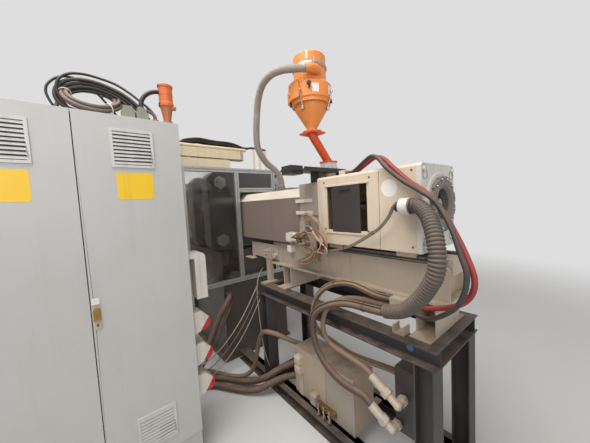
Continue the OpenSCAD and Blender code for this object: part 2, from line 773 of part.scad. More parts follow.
module motor_flange() {
  scallops = 12;
  color("#54504a") difference() {
    union() {
      xcyl(flange_x0, flange_x1, flange_r, z = axis_z, n = 96);
      xcyl(house_x1 - 45, flange_x0, flange_bore_r - slip, z = axis_z);
    }
    xcyl(house_x1 - 46, flange_x1 + 1, flange_bore_r - 16, z = axis_z);
    xcyl(flange_x0 + 4, flange_x1 + 1, flange_bore_r - 16, z = axis_z, r2 = flange_bore_r);
    for (k = [0:scallops - 1]) rotate_axis(k * 360 / scallops)
      xcyl(flange_x0 - 1, flange_x1 + 1, 13, z = flange_r + 3, n = 24);
    for (k = [0:scallops - 1]) rotate_axis((k + 0.5) * 360 / scallops)
      xcyl(flange_x1 - 9, flange_x1 + 1, 8, z = flange_r - 15, n = 24);
  }
}

// Turns its children, which are drawn about the X axis, to an angle round the injection axis
module rotate_axis(a) {
  translate([0, 0, axis_z]) rotate([a, 0, 0]) children();
}

module drive_hub() {
  color("#77736c") difference() {
    union() {
      xcyl(hub_x0, hub_x0 + 104, hub_r, z = axis_z);
      xcyl(hub_x0 + 104, hub_x0 + 127, flange_bore_r - 20, z = axis_z);
      for (k = [0:5]) rotate_axis(k * 60 + 15)
        xcyl(hub_x0 + 127, hub_x0 + 145, 8, z = hub_r + 14, n = 6);
    }
    xcyl(hub_x0 - 1, hub_x0 + 146, shank_r + run, z = axis_z);
  }
}

screw_r = barrel_bore_r - 0.6;
screw_x0 = 150;

module screw() {
  length = 1150;
  shank_x1 = house_x1 - 1;
  color("#8d8f90") {
    xcyl(house_x0 + 7, shank_x1, shank_r, z = axis_z);
    xcyl(shank_x1, shank_x1 + 6, shank_r - 4, z = axis_z);
    xcyl(screw_x0 + 30, house_x0 + 7, screw_r * 0.7, z = axis_z);
    xcyl(screw_x0, screw_x0 + 30, 3, z = axis_z, r2 = screw_r * 0.7);
    translate([screw_x0 + 40, 0, axis_z]) rotate([0, 90, 0])
      linear_extrude(length, twist = -360 * 18, slices = 18 * 10, convexity = 4, $fn = 4)
        translate([screw_r * 0.62, -3.5]) square([screw_r * 0.36, 7]);
  }
}

module window_shutter() {
  y1 = -house_half_w - seat;
  color("#3b3836") {
    box([shutter_x0, y1 - shutter_t, shutter_z0], [shutter_x0 + shutter_w, y1, shutter_z1]);
    box([shutter_x0 + 60, y1 - 16, shutter_z1 - 34], [shutter_x0 + 150, y1 - shutter_t, shutter_z1 - 28]);
  }
}

module cover_outline(t = 0) {
  w = cover_half_w - t;
  top = cover_up - t;
  side = cover_up - 73 - t * 0.4;
  polygon([[-w, -cover_down - (t > 0 ? 1 : 0)], [-w, side], [-w + 69, top], [w - 69, top],
           [w, side], [w, -cover_down - (t > 0 ? 1 : 0)]]);
}

vac_x = 725;
vac_y = -62;

module barrel_cover() {
  t = 4;
  nose = 70;
  color("#8d8175") {
    difference() {
      translate([cover_x0 + nose, 0, axis_z]) rotate([90, 0, 90])
        linear_extrude(feed_x0 - cover_x0 - nose) cover_outline();
      translate([cover_x0 + nose - 1, 0, axis_z]) rotate([90, 0, 90])
        linear_extrude(feed_x0 - cover_x0 - nose + 2) cover_outline(t);
    }
    // Tapered nose of the cover
    difference() {
      hull() {
        translate([cover_x0 + nose - 1, 0, axis_z]) rotate([90, 0, 90])
          linear_extrude(1) cover_outline();
        translate([cover_x0, 0, axis_z]) rotate([90, 0, 90])
          linear_extrude(1) scale([0.86, 0.9]) cover_outline();
      }
      hull() {
        translate([cover_x0 + nose, 0, axis_z]) rotate([90, 0, 90])
          linear_extrude(1) cover_outline(t);
        translate([cover_x0 + 4, 0, axis_z]) rotate([90, 0, 90])
          linear_extrude(1) scale([0.83, 0.9]) cover_outline(t);
      }
      translate([cover_x0 - 1, -cover_half_w, axis_z - cover_down - 1])
        cube([nose + 2, 2 * cover_half_w, cover_down * 0.14]);
      xcyl(cover_x0 - 1, cover_x0 + 6, barrel_r + 14, z = axis_z);
    }
    // Plate and socket of the suction hose on the roof
    box([vac_x - 85, -110, axis_z + cover_up], [vac_x + 175, 30, axis_z + cover_up + 16]);
    translate([vac_x, vac_y, axis_z + cover_up + 16]) cylinder(h = 24, r = 32);
  }
}

nozzle_x = -fixed_t + seat;

module barrel() {
  back = house_x0 - 5;
  bands = 6;
  band_l = 110;
  pitch = (feed_x0 - 130 - 60) / bands;
  color("#8a8479") {
    difference() {
      union() {
        xcyl(130, back, barrel_r, z = axis_z);
        xcyl(70, 130, barrel_r - 18, z = axis_z, r2 = barrel_r);
        xcyl(-120, 70, 26, z = axis_z);
        xcyl(nozzle_x, -120, 9, z = axis_z, r2 = 26);
        xcyl(20, 60, 34, z = axis_z, n = 6);
      }
      xcyl(130, back + 1, barrel_bore_r, z = axis_z);
      xcyl(60, 131, 6, z = axis_z, r2 = barrel_bore_r);
      xcyl(nozzle_x - 1, 61, 4, z = axis_z);
      translate([throat_x, 0, axis_z]) cylinder(h = barrel_r + 1, r = throat_r - 5);
    }
    // Heater bands
    for (k = [0:bands - 1]) difference() {
      xcyl(150 + k * pitch, 150 + k * pitch + band_l, barrel_r + 9, z = axis_z);
      xcyl(149 + k * pitch, 151 + k * pitch + band_l, barrel_r + slip, z = axis_z);
    }
  }
}

module feed_block() {
  w = feed_half_w;
  color("#a39b90") {
    difference() {
      union() {
        box([feed_x0, -w, house_z0], [house_x0, w, feed_z1]);
        rail_shoes(feed_x0 + 30, feed_x0 + 150);
        translate([throat_x, 0, feed_z1]) cylinder(h = slide_z0 - feed_z1, r = throat_r + 18);
        // Raised pad on the near face, and the lug of the carriage cylinder's rod
        box([feed_x0 + 75, -w - 9, house_z0 + 190], [house_x0 - 6, -w, feed_z1 - 12]);
        box([1405, -30, cyl_z - 25], [1425, 30, house_z0]);
      }
      xcyl(feed_x0 - 1, house_x0 - 5, barrel_r + slip, z = axis_z);
      xcyl(house_x0 - 6, house_x0 + 1, shank_r + 1, z = axis_z);
      translate([throat_x, 0, axis_z]) cylinder(h = slide_z0, r = throat_r);
    }
    box([feed_x0 + 95, -30, house_z0 - 12], [1425, 30, house_z0]);
    xcyl(1100, 1406, 18, z = cyl_z);
  }
}

slide_z0 = feed_z1 + 75;
slide_t = 15;
slide_z1 = slide_z0 + slide_t;
slide_y0 = -409;
slide_y1 = 254;

module slide_plate() {
  color("#2d2c2b") {
    difference() {
      union() {
        translate([0, 0, slide_z0]) linear_extrude(slide_t) polygon([
          [throat_x - 65, slide_y0], [throat_x + 65, slide_y0], [throat_x + 65, slide_y1 - 70],
          [throat_x + 15, slide_y1], [throat_x - 15, slide_y1], [throat_x - 65, slide_y1 - 70]
        ]);
        // Guide strips of the sliding foot
        for (s = [-1, 1]) box([throat_x + (s > 0 ? 55 : -65), slide_y0 + 110, slide_z1],
                              [throat_x + (s > 0 ? 65 : -55), 120, slide_z1 + 14]);
      }
      translate([throat_x, 0, slide_z0 - 1]) cylinder(h = slide_t + 2, r = throat_r);
    }
    // End box, and brackets down to the feed block
    box([throat_x - 50, slide_y0, slide_z0 - 22], [throat_x + 50, slide_y0 + 105, slide_z0]);
    box([throat_x - 50, slide_y0, slide_z1], [throat_x + 50, slide_y0 + 105, slide_z1 + 20]);
    for (y = [-150, 110]) box([throat_x - 45, y, feed_z1], [throat_x + 45, y + 30, slide_z0]);
  }
}

foot_z1 = slide_z1 + 62;
chute_z1 = foot_z1 + 12 + chute_h;

// Leaning pipe between two heights, made of a sheared stack about the throat
module chute_pipe(r) {
  lean = atan2(-loader_dy, chute_h);
  translate([throat_x, 0, foot_z1 + 6]) rotate([lean, 0, 0])
    translate([0, 0, -30]) cylinder(h = norm([loader_dy, chute_h]) + 60, r = r);
}

module hopper_foot() {
  low_f = 48;
  high_f = 66;
  color("#d8622b") {
    // Slide block and the pale spacer on it
    difference() {
      union() {
        box([throat_x - 50, -50, slide_z1 + seat], [throat_x + 50, 50, slide_z1 + 32]);
        box([throat_x - 44, -44, slide_z1 + 32], [throat_x + 44, 44, foot_z1]);
      }
      translate([throat_x, 0, slide_z1]) cylinder(h = 70, r = throat_r);
    }
    // Lower flange, leaning chute and upper flange
    difference() {
      union() {
        box([throat_x - low_f, -low_f, foot_z1], [throat_x + low_f, low_f, foot_z1 + 12]);
        box([throat_x - high_f, loader_dy - high_f, chute_z1],
            [throat_x + high_f, loader_dy + high_f, chute_z1 + 12]);
        intersection() {
          chute_pipe(30);
          box([throat_x - high_f, loader_dy - high_f, foot_z1 + 12],
              [throat_x + high_f, high_f, chute_z1]);
        }
      }
      intersection() {
        chute_pipe(25);
        box([throat_x - high_f, loader_dy - high_f, foot_z1 - 1],
            [throat_x + high_f, high_f, chute_z1 + 13]);
      }
    }
  }
}

load_z0 = chute_z1 + 12;
cone_z = load_z0 + 152;
drum_z = cone_z + 52;
mid_z1 = drum_z + 122;
head_z1 = mid_z1 + 190;

module loader_body() {
  t = 3;
  color("#e0782a") translate([throat_x, loader_dy, 0]) {
    rotate_extrude($fn = 64) polygon([
      [35 - t, load_z0], [70, load_z0], [70, load_z0 + 8], [38, load_z0 + 8], [38, load_z0 + 30],
      [drum_r, cone_z], [drum_r, drum_z - 24], [drum_r + 24, drum_z - 24],
      [drum_r + 24, drum_z], [loader_mid_r, drum_z + 4], [loader_mid_r, mid_z1 - 22],
      [loader_mid_r - 14, mid_z1 - 6], [drum_r + 6, mid_z1], [drum_r - t, mid_z1],
      [drum_r - t, mid_z1 - 8], [loader_mid_r - t, mid_z1 - 24], [loader_mid_r - t, drum_z + 6],
      [drum_r - t, drum_z + 2], [drum_r - t, cone_z], [35 - t, load_z0 + 30]
    ]);
    // Flat housing of the level sensor, and the black knob's boss
    rotate([0, 0, 200]) box([loader_mid_r - 12, -40, drum_z + 14], [loader_mid_r + 22, 40, mid_z1 - 26]);
    rotate([0, 0, 250]) xcyl(loader_mid_r - 4, loader_mid_r + 20, 9, z = drum_z + 40, n = 24);
  }
}

// Inlet elbow in front of the head: direction from the axis, height, place of its arc and mouth
inlet_a = 318;
inlet_z = mid_z1 + 47;
inlet_bend = 60;
inlet_at = [95, -15];
inlet_mouth = 10;

module inlet(r, past = 0) {
  rotate([0, 0, inlet_a]) translate([0, 0, inlet_z]) {
    xcyl(drum_r - 35, inlet_at[0], r, y = inlet_at[1] + inlet_bend, n = 24);
    translate(inlet_at) rotate_extrude(angle = 90) translate([inlet_bend, 0]) circle(r, $fn = 24);
    ycyl(inlet_at[1] - inlet_mouth - past, inlet_at[1], r, x = inlet_at[0] + inlet_bend, n = 24);
  }
}

module loader_head() {
  t = 3;
  color("#e0782a") translate([throat_x, loader_dy, 0]) {
    difference() {
      union() {
        rotate_extrude($fn = 64) polygon([
          [0, mid_z1], [drum_r + 4, mid_z1], [drum_r + 4, mid_z1 + 12], [drum_r, mid_z1 + 12],
          [drum_r, head_z1 - 14], [drum_r - 10, head_z1 - 4], [drum_r - 40, head_z1],
          [0, head_z1]
        ]);
        inlet(30);
      }
      rotate_extrude($fn = 64) polygon([
        [0, mid_z1 - 1], [drum_r - t, mid_z1 - 1], [drum_r - t, head_z1 - 16],
        [drum_r - 40, head_z1 - t], [0, head_z1 - t]
      ]);
      inlet(24, 1);
    }
    // Clamp ring round the head
    rotate_extrude($fn = 64) translate([drum_r, mid_z1 + 92]) square([5, 14]);
  }
}

module service_manifold() {
  y = -feed_half_w - 9;
  color("#b9b3a6") {
    box([990, y - 12, house_z0 - 150], [1290, y, house_z0 + 60]);
    // Connector blocks, coupling rows and two pale clips
    box([1000, y - 60, house_z0 - 10], [1070, y - 12, house_z0 + 55]);
    box([1000, y - 52, house_z0 - 95], [1050, y - 12, house_z0 - 45]);
    for (k = [0:2]) {
      xcyl(1070, 1105, 14, y = y - 36, z = house_z0 + 2 + k * 21, n = 24);
      ycyl(y - 38, y - 12, 13, x = 1130 + k * 42, z = house_z0 + 30, n = 6);
      ycyl(y - 38, y - 12, 13, x = 1130 + k * 42, z = house_z0 - 20, n = 6);
    }
    box([1230, y - 46, house_z0 - 80], [1290, y - 12, house_z0 - 40]);
    box([1190, y - 46, house_z0 - 146], [1240, y - 12, house_z0 - 110]);
    box([1160, y - 46, house_z0 + 60], [1220, y, house_z0 + 146]);
    for (z = [196, 284]) box([feed_x0 - 34, y - 6, house_z0 + z], [feed_x0 + 150, y + 0, house_z0 + z + 26]);
  }
}

collar_y = -252;

module conduit_collar() {
  color("#dfdcd2") {
    xcyl(1955, 2000, 42, y = collar_y, z = axis_z);
    xcyl(1930, 1955, 26, y = collar_y, z = axis_z, n = 24);
    difference() {
      box([1960, collar_y, axis_z - 18], [1994, -house_half_w, axis_z + 18]);
      xcyl(1959, 1995, 41.9, y = collar_y, z = axis_z);
    }
  }
}

// Steel frame and valve block

post_x = [frame_x0 + 60, frame_x1 - 61];

module support_frame() {
  y = frame_half_w - beam_w / 2;
  top = frame_h - beam_h;
  color("#3a3a3d") difference() {
    union() {
      for (s = [-1, 1]) {
        h_beam_x(frame_x0, frame_x1, s * y, top);
        h_beam_x(s < 0 ? 80 : 560, frame_x1, s * y, 0);
        for (x = post_x) h_post(x, s * y, beam_h, top);
      }
      for (x = [frame_x0 + beam_w / 2, frame_x1 - beam_w / 2])
        h_beam_y(-y, y, x, top);
      for (x = post_x) h_beam_y(-y, y, x, 0);
      // Plate that closes the top of the right end
      box([frame_x1 - beam_w - 8, -frame_half_w, frame_h - beam_tf], [frame_x1, frame_half_w, frame_h]);
    }
    for (x = [anchor_x - 600, anchor_x + 600], s = [-1, 1])
      translate([x, s * (frame_half_w - 20), -1]) cylinder(h = beam_tf + 2, r = anchor_r);
  }
}

anchor_x = 1360;

valve_x = [1850, 1960];

// White sleeve, nut and elbow between a hose's end and the valve block's near face
module white_elbow(hose_end, knee) {
  d = unit(knee - hose_end);
  l = norm(knee - hose_end);
  translate(hose_end) rotate([0, acos(d[2]), atan2(d[1], d[0])]) {
    cylinder(h = l * 0.5, r = 26, $fn = 24);
    translate([0, 0, l * 0.5]) cylinder(h = 34, r = 33, $fn = 6);
    translate([0, 0, l * 0.5 + 34]) cylinder(h = l * 0.5 - 34, r = 22, $fn = 24);
  }
  translate(knee) sphere(24, $fn = 24);
  ycyl(knee[1], -frame_half_w + 115, 22, x = knee[0], z = knee[2], n = 24);
  ycyl(knee[1] + 34, knee[1] + 60, 31, x = knee[0], z = knee[2], n = 6);
}

lower_end = [1745, -258, 462];
lower_knee = [1865, -234, 372];
upper_end = [1745, -242, 634];
upper_knee = [1905, -242, 542];

module valve_block() {
  y0 = -frame_half_w + 115;
  color("#d9d6cd") {
    box([valve_x[0], y0, 330], [valve_x[1], y0 + 110, 710]);
    box([valve_x[1], y0 + 20, 420], [post_x[1] - beam_h / 2, y0 + 30, 640]);
    white_elbow(lower_end, lower_knee);
    white_elbow(upper_end, upper_knee);
  }
}

// Electrical cabinet

cab_x0 = cab_x1 - cab_depth;
cab_y0 = cab_y1 - cab_w;
cab_mid = (cab_y0 + cab_y1) / 2;
door_z0 = plinth_h + 2;
door_z1 = cab_h - 4;
gland_y = [-1220, -1140, -1060];
gland_r = [26, 34, 34];
gland_z = 150;
riser_gland = [cab_x0, -1010, 280];

module cabinet_body() {
  wall = 20;
  front = cab_x1 - door_t - seat;
  color("#b9b7b2") difference() {
    union() {
      box([cab_x0, cab_y0, 0], [front, cab_y1, cab_h]);
      // Glands of the floor hoses on the back
      for (k = [0:2]) xcyl(cab_x0 - 20, cab_x0, gland_r[k], y = gland_y[k], z = gland_z, n = 24);
      xcyl(cab_x0 - 20, cab_x0, 34, y = riser_gland[1], z = riser_gland[2], n = 24);
    }
    box([cab_x0 + wall, cab_y0 + wall, plinth_h + wall], [front + 1, cab_y1 - wall, cab_h - wall]);
  }
  // Mounting plate inside, with rows of rail-mounted devices
  color("#c9cac8") {
    box([cab_x0 + wall, cab_y0 + 60, plinth_h + 60], [cab_x0 + wall + 6, cab_y1 - 60, cab_h - 60]);
    for (z = [500:400:1700]) box([cab_x0 + wall + 6, cab_y0 + 120, z],
                                 [cab_x0 + wall + 90, cab_y1 - 120, z + 130]);
  }
}

// Louvred grille: a raised frame with sloping blades
module grille(y, z) {
  h = grille_w / 2;
  blades = 9;
  difference() {
    box([cab_x1, y - h, z - h], [cab_x1 + 7, y + h, z + h]);
    box([cab_x1 + 2, y - h + 14, z - h + 14], [cab_x1 + 8, y + h - 14, z + h - 14]);
  }
  for (k = [0:blades - 1]) translate([cab_x1 + 2, 0, z - h + 14 + (k + 0.5) * (2 * h - 28) / blades])
    translate([0, y - h + 14, 0]) rotate([90, 0, 0]) mirror([0, 0, 1])
      linear_extrude(2 * h - 28) polygon([[0, 7], [0, 3], [5, -7], [5, -3]]);
}

module cabinet_door(y0, y1) {
  color("#bebbb7") {
    difference() {
      box([cab_x1 - door_t, y0 + 2, door_z0], [cab_x1, y1 - 2, door_z1]);
      box([cab_x1 - door_t - 1, y0 + 25, door_z0 + 25], [cab_x1 - 3, y1 - 25, door_z1 - 25]);
    }
  }
}

module cabinet_door_left() {
  y = (cab_y0 + cab_mid) / 2;
  cabinet_door(cab_y0, cab_mid);
  color("#c8c6c1") grille(y, 1997);
}

lock_pos = [cab_mid + 22, 1155];

module cabinet_door_right() {
  y = (cab_y1 + cab_mid) / 2;
  difference() {
    cabinet_door(cab_mid, cab_y1);
    xcyl(cab_x1 - 4, cab_x1 + 1, 7 + run, y = lock_pos[0], z = lock_pos[1]);
  }
  color("#c8c6c1") {
    grille(y, 1997);
    grille(y, 380);
  }
}

module door_lock() {
  color("#b59a5b") {
    xcyl(cab_x1 - 3, cab_x1 + 6, 7, y = lock_pos[0], z = lock_pos[1]);
    xcyl(cab_x1 + 6 , cab_x1 + 15, 14, y = lock_pos[0], z = lock_pos[1]);
    box([cab_x1 + 6, lock_pos[0] - 14, lock_pos[1] - 50], [cab_x1 + 15, lock_pos[0] + 14, lock_pos[1]]);
  }
}

socket_x = 850;
socket_tilt = 35;
// Frame of one power socket: origin at the middle of its mouth, Z out of the mouth
module at_socket(k) {
  translate([socket_x, cab_y1 + mouth_y, socket_z - k * socket_pitch])
    rotate([-90 - socket_tilt, 0, 0]) children();
}
lid_hinge = [0, -46, 6];
mouth_y = 78;

module power_sockets() {
  color("#d8d6d0") {
    for (k = [0:2]) {
      difference() {
        union() {
          // Wedge housing on the cabinet's side
          translate([socket_x - 50, 0, socket_z - k * socket_pitch]) rotate([90, 0, 90])
            linear_extrude(100) translate([cab_y1, 0]) polygon([
              [0, -60], [mouth_y - 50 * sin(socket_tilt), -50 * cos(socket_tilt)],
              [mouth_y + 50 * sin(socket_tilt), 50 * cos(socket_tilt)], [64, 92], [0, 96]
            ]);
          at_socket(k) translate([0, 0, -40]) cylinder(h = 40, r = 40);
        }
        at_socket(k) translate([0, 0, -34]) cylinder(h = 35, r = 34);
      }
      // Contact carrier, and the ears of the lid's hinge
      at_socket(k) {
        translate([0, 0, -34]) cylinder(h = 10, r = 24);
        for (s = [-1, 1]) difference() {
          union() {
            box([s * 22 - 5, lid_hinge[1] - 6, -20], [s * 22 + 5, lid_hinge[1] + 6, lid_hinge[2]]);
            translate([0, lid_hinge[1], lid_hinge[2]]) xcyl(s * 22 - 5, s * 22 + 5, 6, n = 24);
          }
          translate([0, lid_hinge[1], lid_hinge[2]]) xcyl(s * 22 - 6, s * 22 + 6, 3 + run, n = 24);
        }
      }
    }
    // Rounded cable hood above the sockets
    difference() {
      translate([socket_x - 50, cab_y1, 0]) rotate([90, 0, 90]) linear_extrude(110) union() {
        translate([0, 1060]) square([112, 268]);
        translate([0, 1328]) square([72, 40]);
        translate([72, 1328]) circle(40, $fn = 48);
      }
      box([socket_x - 30, cab_y1 - 1, 1059], [socket_x + 70, cab_y1 + 40, 1330]);
    }
  }
}

module socket_lid(k) {
  color("#c8283a") at_socket(k) {
    translate([0, 0, seat]) cylinder(h = 9, r = 41);
    translate([0, 0, 9]) cylinder(h = 5, r = 30);
    box([-16, lid_hinge[1], lid_hinge[2] - 3], [16, -36, lid_hinge[2] + 3]);
    translate([0, lid_hinge[1], lid_hinge[2]]) {
      xcyl(-16, 16, 5.5, n = 24);
      xcyl(-28, 28, 3, n = 24);
    }
  }
}
module socket_lid_1() { socket_lid(0); }
module socket_lid_2() { socket_lid(1); }
module socket_lid_3() { socket_lid(2); }

module cabinet_top_fittings() {
  valve = [895, -1022];
  bend = 104;
  hose_up = 180;
  hood = 64;
  color("#c06a3a") {
    // Valve: a narrow foot that widens to a drum with a flat cap
    translate([valve[0], valve[1], cab_h]) {
      cylinder(h = 12, r = 30, $fn = 6);
      rotate_extrude() polygon([
        [0, 12], [20, 12], [24, 40], [34, 92], [42, 100], [42, 118], [38, 122], [38, 206],
        [42, 210], [42, 222], [0, 222]
      ]);
      rotate([0, 0, 60]) xcyl(20, 52, 13, z = 92, n = 24);
    }
    // Short stiff hose from the drum down into the nearer connector hood
    translate([valve[0], valve[1] - 32, cab_h + hose_up - bend]) rotate([90, 0, -90])
      rotate_extrude(angle = 90) translate([bend, 0]) circle(12, $fn = 24);
    translate([valve[0], valve[1] - 32 - bend, cab_h + hood - 1])
      cylinder(h = hose_up - bend - hood + 1, r = 16);
    // Connector hoods on the roof, and the gland that takes the coil's tail
    for (k = [0, 1]) translate([valve[0], valve[1] - 32 - bend - k * 68, cab_h]) {
      box([-30, -30, 0], [30, 30, hood - 26]);
      box([-22, -22, hood - 26], [22, 22, hood]);
    }
    translate([tail_end[0], tail_end[1], cab_h]) cylinder(h = tail_gland, r = tail_r + 8, $fn = 24);
  }
}

coil_r = 114;
coil_t = 30;
coil_tilt = [0, 44];
coil_x = 800;
coil_y = -1372;
tail_r = 11;
tail_end = [862, -1082];
tail_gland = 22;

module cable_coil() {
  // Height of the middle, so that the lowest turn rests on the roof
  lean = sqrt(1 - pow(cos(coil_tilt[0]) * cos(coil_tilt[1]), 2));
  mid_z = cab_h + seat + coil_r * lean + coil_t;
  color("#3e3a36") {
    translate([coil_x, coil_y, mid_z]) rotate([coil_tilt[0], coil_tilt[1], 0])
      rotate_extrude($fn = 48) translate([coil_r, 0]) circle(coil_t, $fn = 24);
    // Tail from the top of the coil down to its gland
    top = mid_z + coil_r * lean;
    x0 = coil_x - coil_r * cos(coil_tilt[1]);
    tube([
      [x0, coil_y, top], [x0 + 4, coil_y + 45, top + 2], [x0 + 26, coil_y + 105, top - 20],
      [x0 + 62, coil_y + 170, top - 66], [x0 + 104, coil_y + 226, top - 116],
      [x0 + 132, coil_y + 266, top - 146], [tail_end[0], tail_end[1], cab_h + tail_gland + 18],
      [tail_end[0], tail_end[1], cab_h + tail_gland]
    ], tail_r, 2);
  }
}

// Junction box

jbox_z0 = beam_h + 10;
jbox_y0 = -200;
jx1 = jbox_x0 + jbox_l;

module junction_box() {
  t = 4;
  color("#b7a98d") {
    difference() {
      box([jbox_x0, jbox_y0, jbox_z0], [jx1, jbox_y0 + jbox_d, jbox_z0 + jbox_h]);
      box([jbox_x0 + t, jbox_y0 - 1, jbox_z0 + t],
          [jx1 - t, jbox_y0 + jbox_d - t, jbox_z0 + jbox_h - t]);
    }
    // Flat bars that rest on both floor beams
    for (x = [jbox_x0 + 60, jx1 - 110])
      box([x, jbox_y0 + 2, beam_h], [x + 50, -jbox_y0 - 2, jbox_z0]);
    // Glands of the floor hoses on the left face
    for (g = jbox_glands) xcyl(jbox_x0 - 20, jbox_x0, g[2], y = g[0], z = g[1], n = 24);
  }
}

// Glands on the left face: Y, Z, radius
jbox_glands = [[-110, 440, 26], [-60, 255, 34], [-135, 162, 34]];

module junction_cover() {
  t = 12;
  y1 = jbox_y0;
  z0 = jbox_z0;
  seam = jbox_x0 + 350;
  color("#bfb198") {
    difference() {
      box([jbox_x0 - 4, y1 - t, z0 - 4], [jx1 + 4, y1, z0 + jbox_h + 4]);
      box([jbox_x0 + 30, y1 - t + 3, z0 + 30], [jx1 - 30, y1 + 1, z0 + jbox_h - 30]);
      box([seam, y1 - t - 1, z0 - 5], [seam + 3, y1 - t + 2, z0 + jbox_h + 5]);
    }
    // Raised channel near the left edge with two angled connector hoods on it
    box([jbox_x0 + 52, y1 - t - 10, z0 + 2], [jbox_x0 + 104, y1 - t, z0 + jbox_h - 36]);
    for (z = [198, 270]) translate([jbox_x0 + 46, y1 - t, z0 + z]) rotate([90, 0, 90])
      linear_extrude(64) polygon([[0, 0], [-40, 0], [-46, 8], [-46, 52], [-34, 66], [0, 66]]);
    // Screws round the edge
    for (x = [jbox_x0 + 14, jx1 - 14], z = [16, jbox_h / 2, jbox_h - 16])
      ycyl(y1 - t - 4, y1 - t, 6, x = x, z = z0 + z, n = 24);
    for (s = [-16, 20]) ycyl(y1 - t - 4, y1 - t, 5, x = seam + s, z = z0 + jbox_h - 16, n = 24);
  }
}

module water_couplings() {
  y = jbox_y0 - 12;
  z = jbox_z0;
  pipe = 8;
  color("#a58a52") {
    // Tapered connector box with two blades, then three couplings on a low rail
    translate([1205, y, z + 18]) rotate([90, 0, 90]) linear_extrude(56)
      polygon([[0, 18], [-30, 0], [-48, 22], [-48, 88], [-34, 100], [0, 100]]);
    box([1261, y - 12, z + 40], [1430, y, z + 76]);
    for (k = [0:2]) translate([1292 + k * 54, y, z + 58]) {
      rotate([90, 0, 0]) cylinder(h = 34, r = 15, $fn = 6);
      rotate([90, 0, 0]) translate([0, 0, 34]) cylinder(h = 22, r = 10, $fn = 24);
      translate([0, -44, -52]) cylinder(h = 92, r = pipe, $fn = 24);
      for (u = [-52, 24]) translate([0, -44, u]) cylinder(h = 16, r = 13, $fn = 6);
    }
  }
}

// Cords: routes of round numbers chosen by hand

conduit_route = [
  [2000, -252, 1612], [2036, -252, 1612], [2088, -284, 1580], [2128, -325, 1532],
  [2155, -358, 1474], [2170, -378, 1400], [2162, -380, 1338], [2137, -370, 1287],
  [2100, -355, 1228], [2058, -340, 1180], [2000, -321, 1125], [1940, -305, 1092],
  [1880, -297, 1074]
];
lower_route = [
  [1880, -297, 1074], [1850, -293, 1065], [1751, -290, 1056], [1645, -294, 1050],
  [1550, -316, 1031], [1464, -344, 990], [1406, -358, 935], [1386, -362, 875],
  [1384, -358, 795], [1400, -350, 705], [1446, -336, 622], [1510, -320, 565],
  [1580, -306, 530], [1650, -287, 512], [1705, -266, 492], lower_end
];
upper_route = [
  [1850, -165, 1050], [1815, -165, 1050], [1770, -200, 1062], [1677, -228, 1068],
  [1576, -246, 1050], [1504, -270, 1012], [1454, -304, 948], [1434, -312, 865],
  [1438, -308, 795], [1470, -290, 735], [1540, -268, 700], [1620, -254, 680],
  [1705, -242, 657], upper_end
];
loop_route = [
  [1850, -165, 1092], [1815, -165, 1092], [1768, -216, 1114], [1701, -246, 1144],
  [1634, -254, 1157], [1543, -264, 1146], [1450, -278, 1105], [1385, -298, 1038],
  [1352, -312, 960], [1343, -316, 872], [1356, -309, 815], [1392, -276, 758],
  [1430, -225, 705], [1484, -198, 675], [1548, -188, 658], [1664, -168, 652],
  [1769, -152, 656], [1815, -150, 660], [1850, -150, 660]
];
red_route = [
  [1480, -45, 1841], [1520, -45, 1841], [1570, -55, 1852], [1660, -85, 1882],
  [1751, -140, 1894], [1830, -185, 1868], [1895, -222, 1818], [1985, -232, 1735],
  [2066, -228, 1672], [2138, -240, 1588], [2200, -262, 1486], [2244, -272, 1392],
  [2266, -270, 1313], [2253, -258, 1244], [2207, -246, 1186], [2123, -232, 1141],
  [2040, -205, 1110], [1976, -172, 1092], [1930, -172, 1092]
];
dark_route = [
  [1480, -75, 1841], [1520, -75, 1841], [1570, -88, 1854], [1660, -122, 1888],
  [1741, -170, 1900], [1812, -214, 1872], [1878, -246, 1812], [1975, -262, 1734],
  [2050, -262, 1684], [2126, -266, 1624], [2190, -290, 1520], [2226, -304, 1420],
  [2250, -308, 1345], [2243, -304, 1270], [2215, -296, 1200], [2160, -286, 1140],
  [2090, -262, 1090], [2026, -212, 1062], [1970, -172, 1050], [1930, -172, 1050]
];
signal_route = [
  [1930, -252, 1612], [1914, -252, 1612], [1884, -248, 1560], [1824, -240, 1499],
  [1762, -235, 1460], [1702, -231, 1424], [1640, -229, 1392], [1572, -228, 1364],
  [1461, -228, 1334], [1360, -226, 1318], [1318, -222, 1314], [1290, -222, 1314]
];
manifold_route = [
  [1190, -222, 1520], [1190, -222, 1545], [1216, -230, 1572], [1270, -238, 1570],
  [1335, -246, 1540], [1400, -252, 1490], [1440, -256, 1420], [1434, -258, 1340],
  [1390, -252, 1280], [1320, -236, 1250], [1270, -222, 1246], [1240, -222, 1246]
];
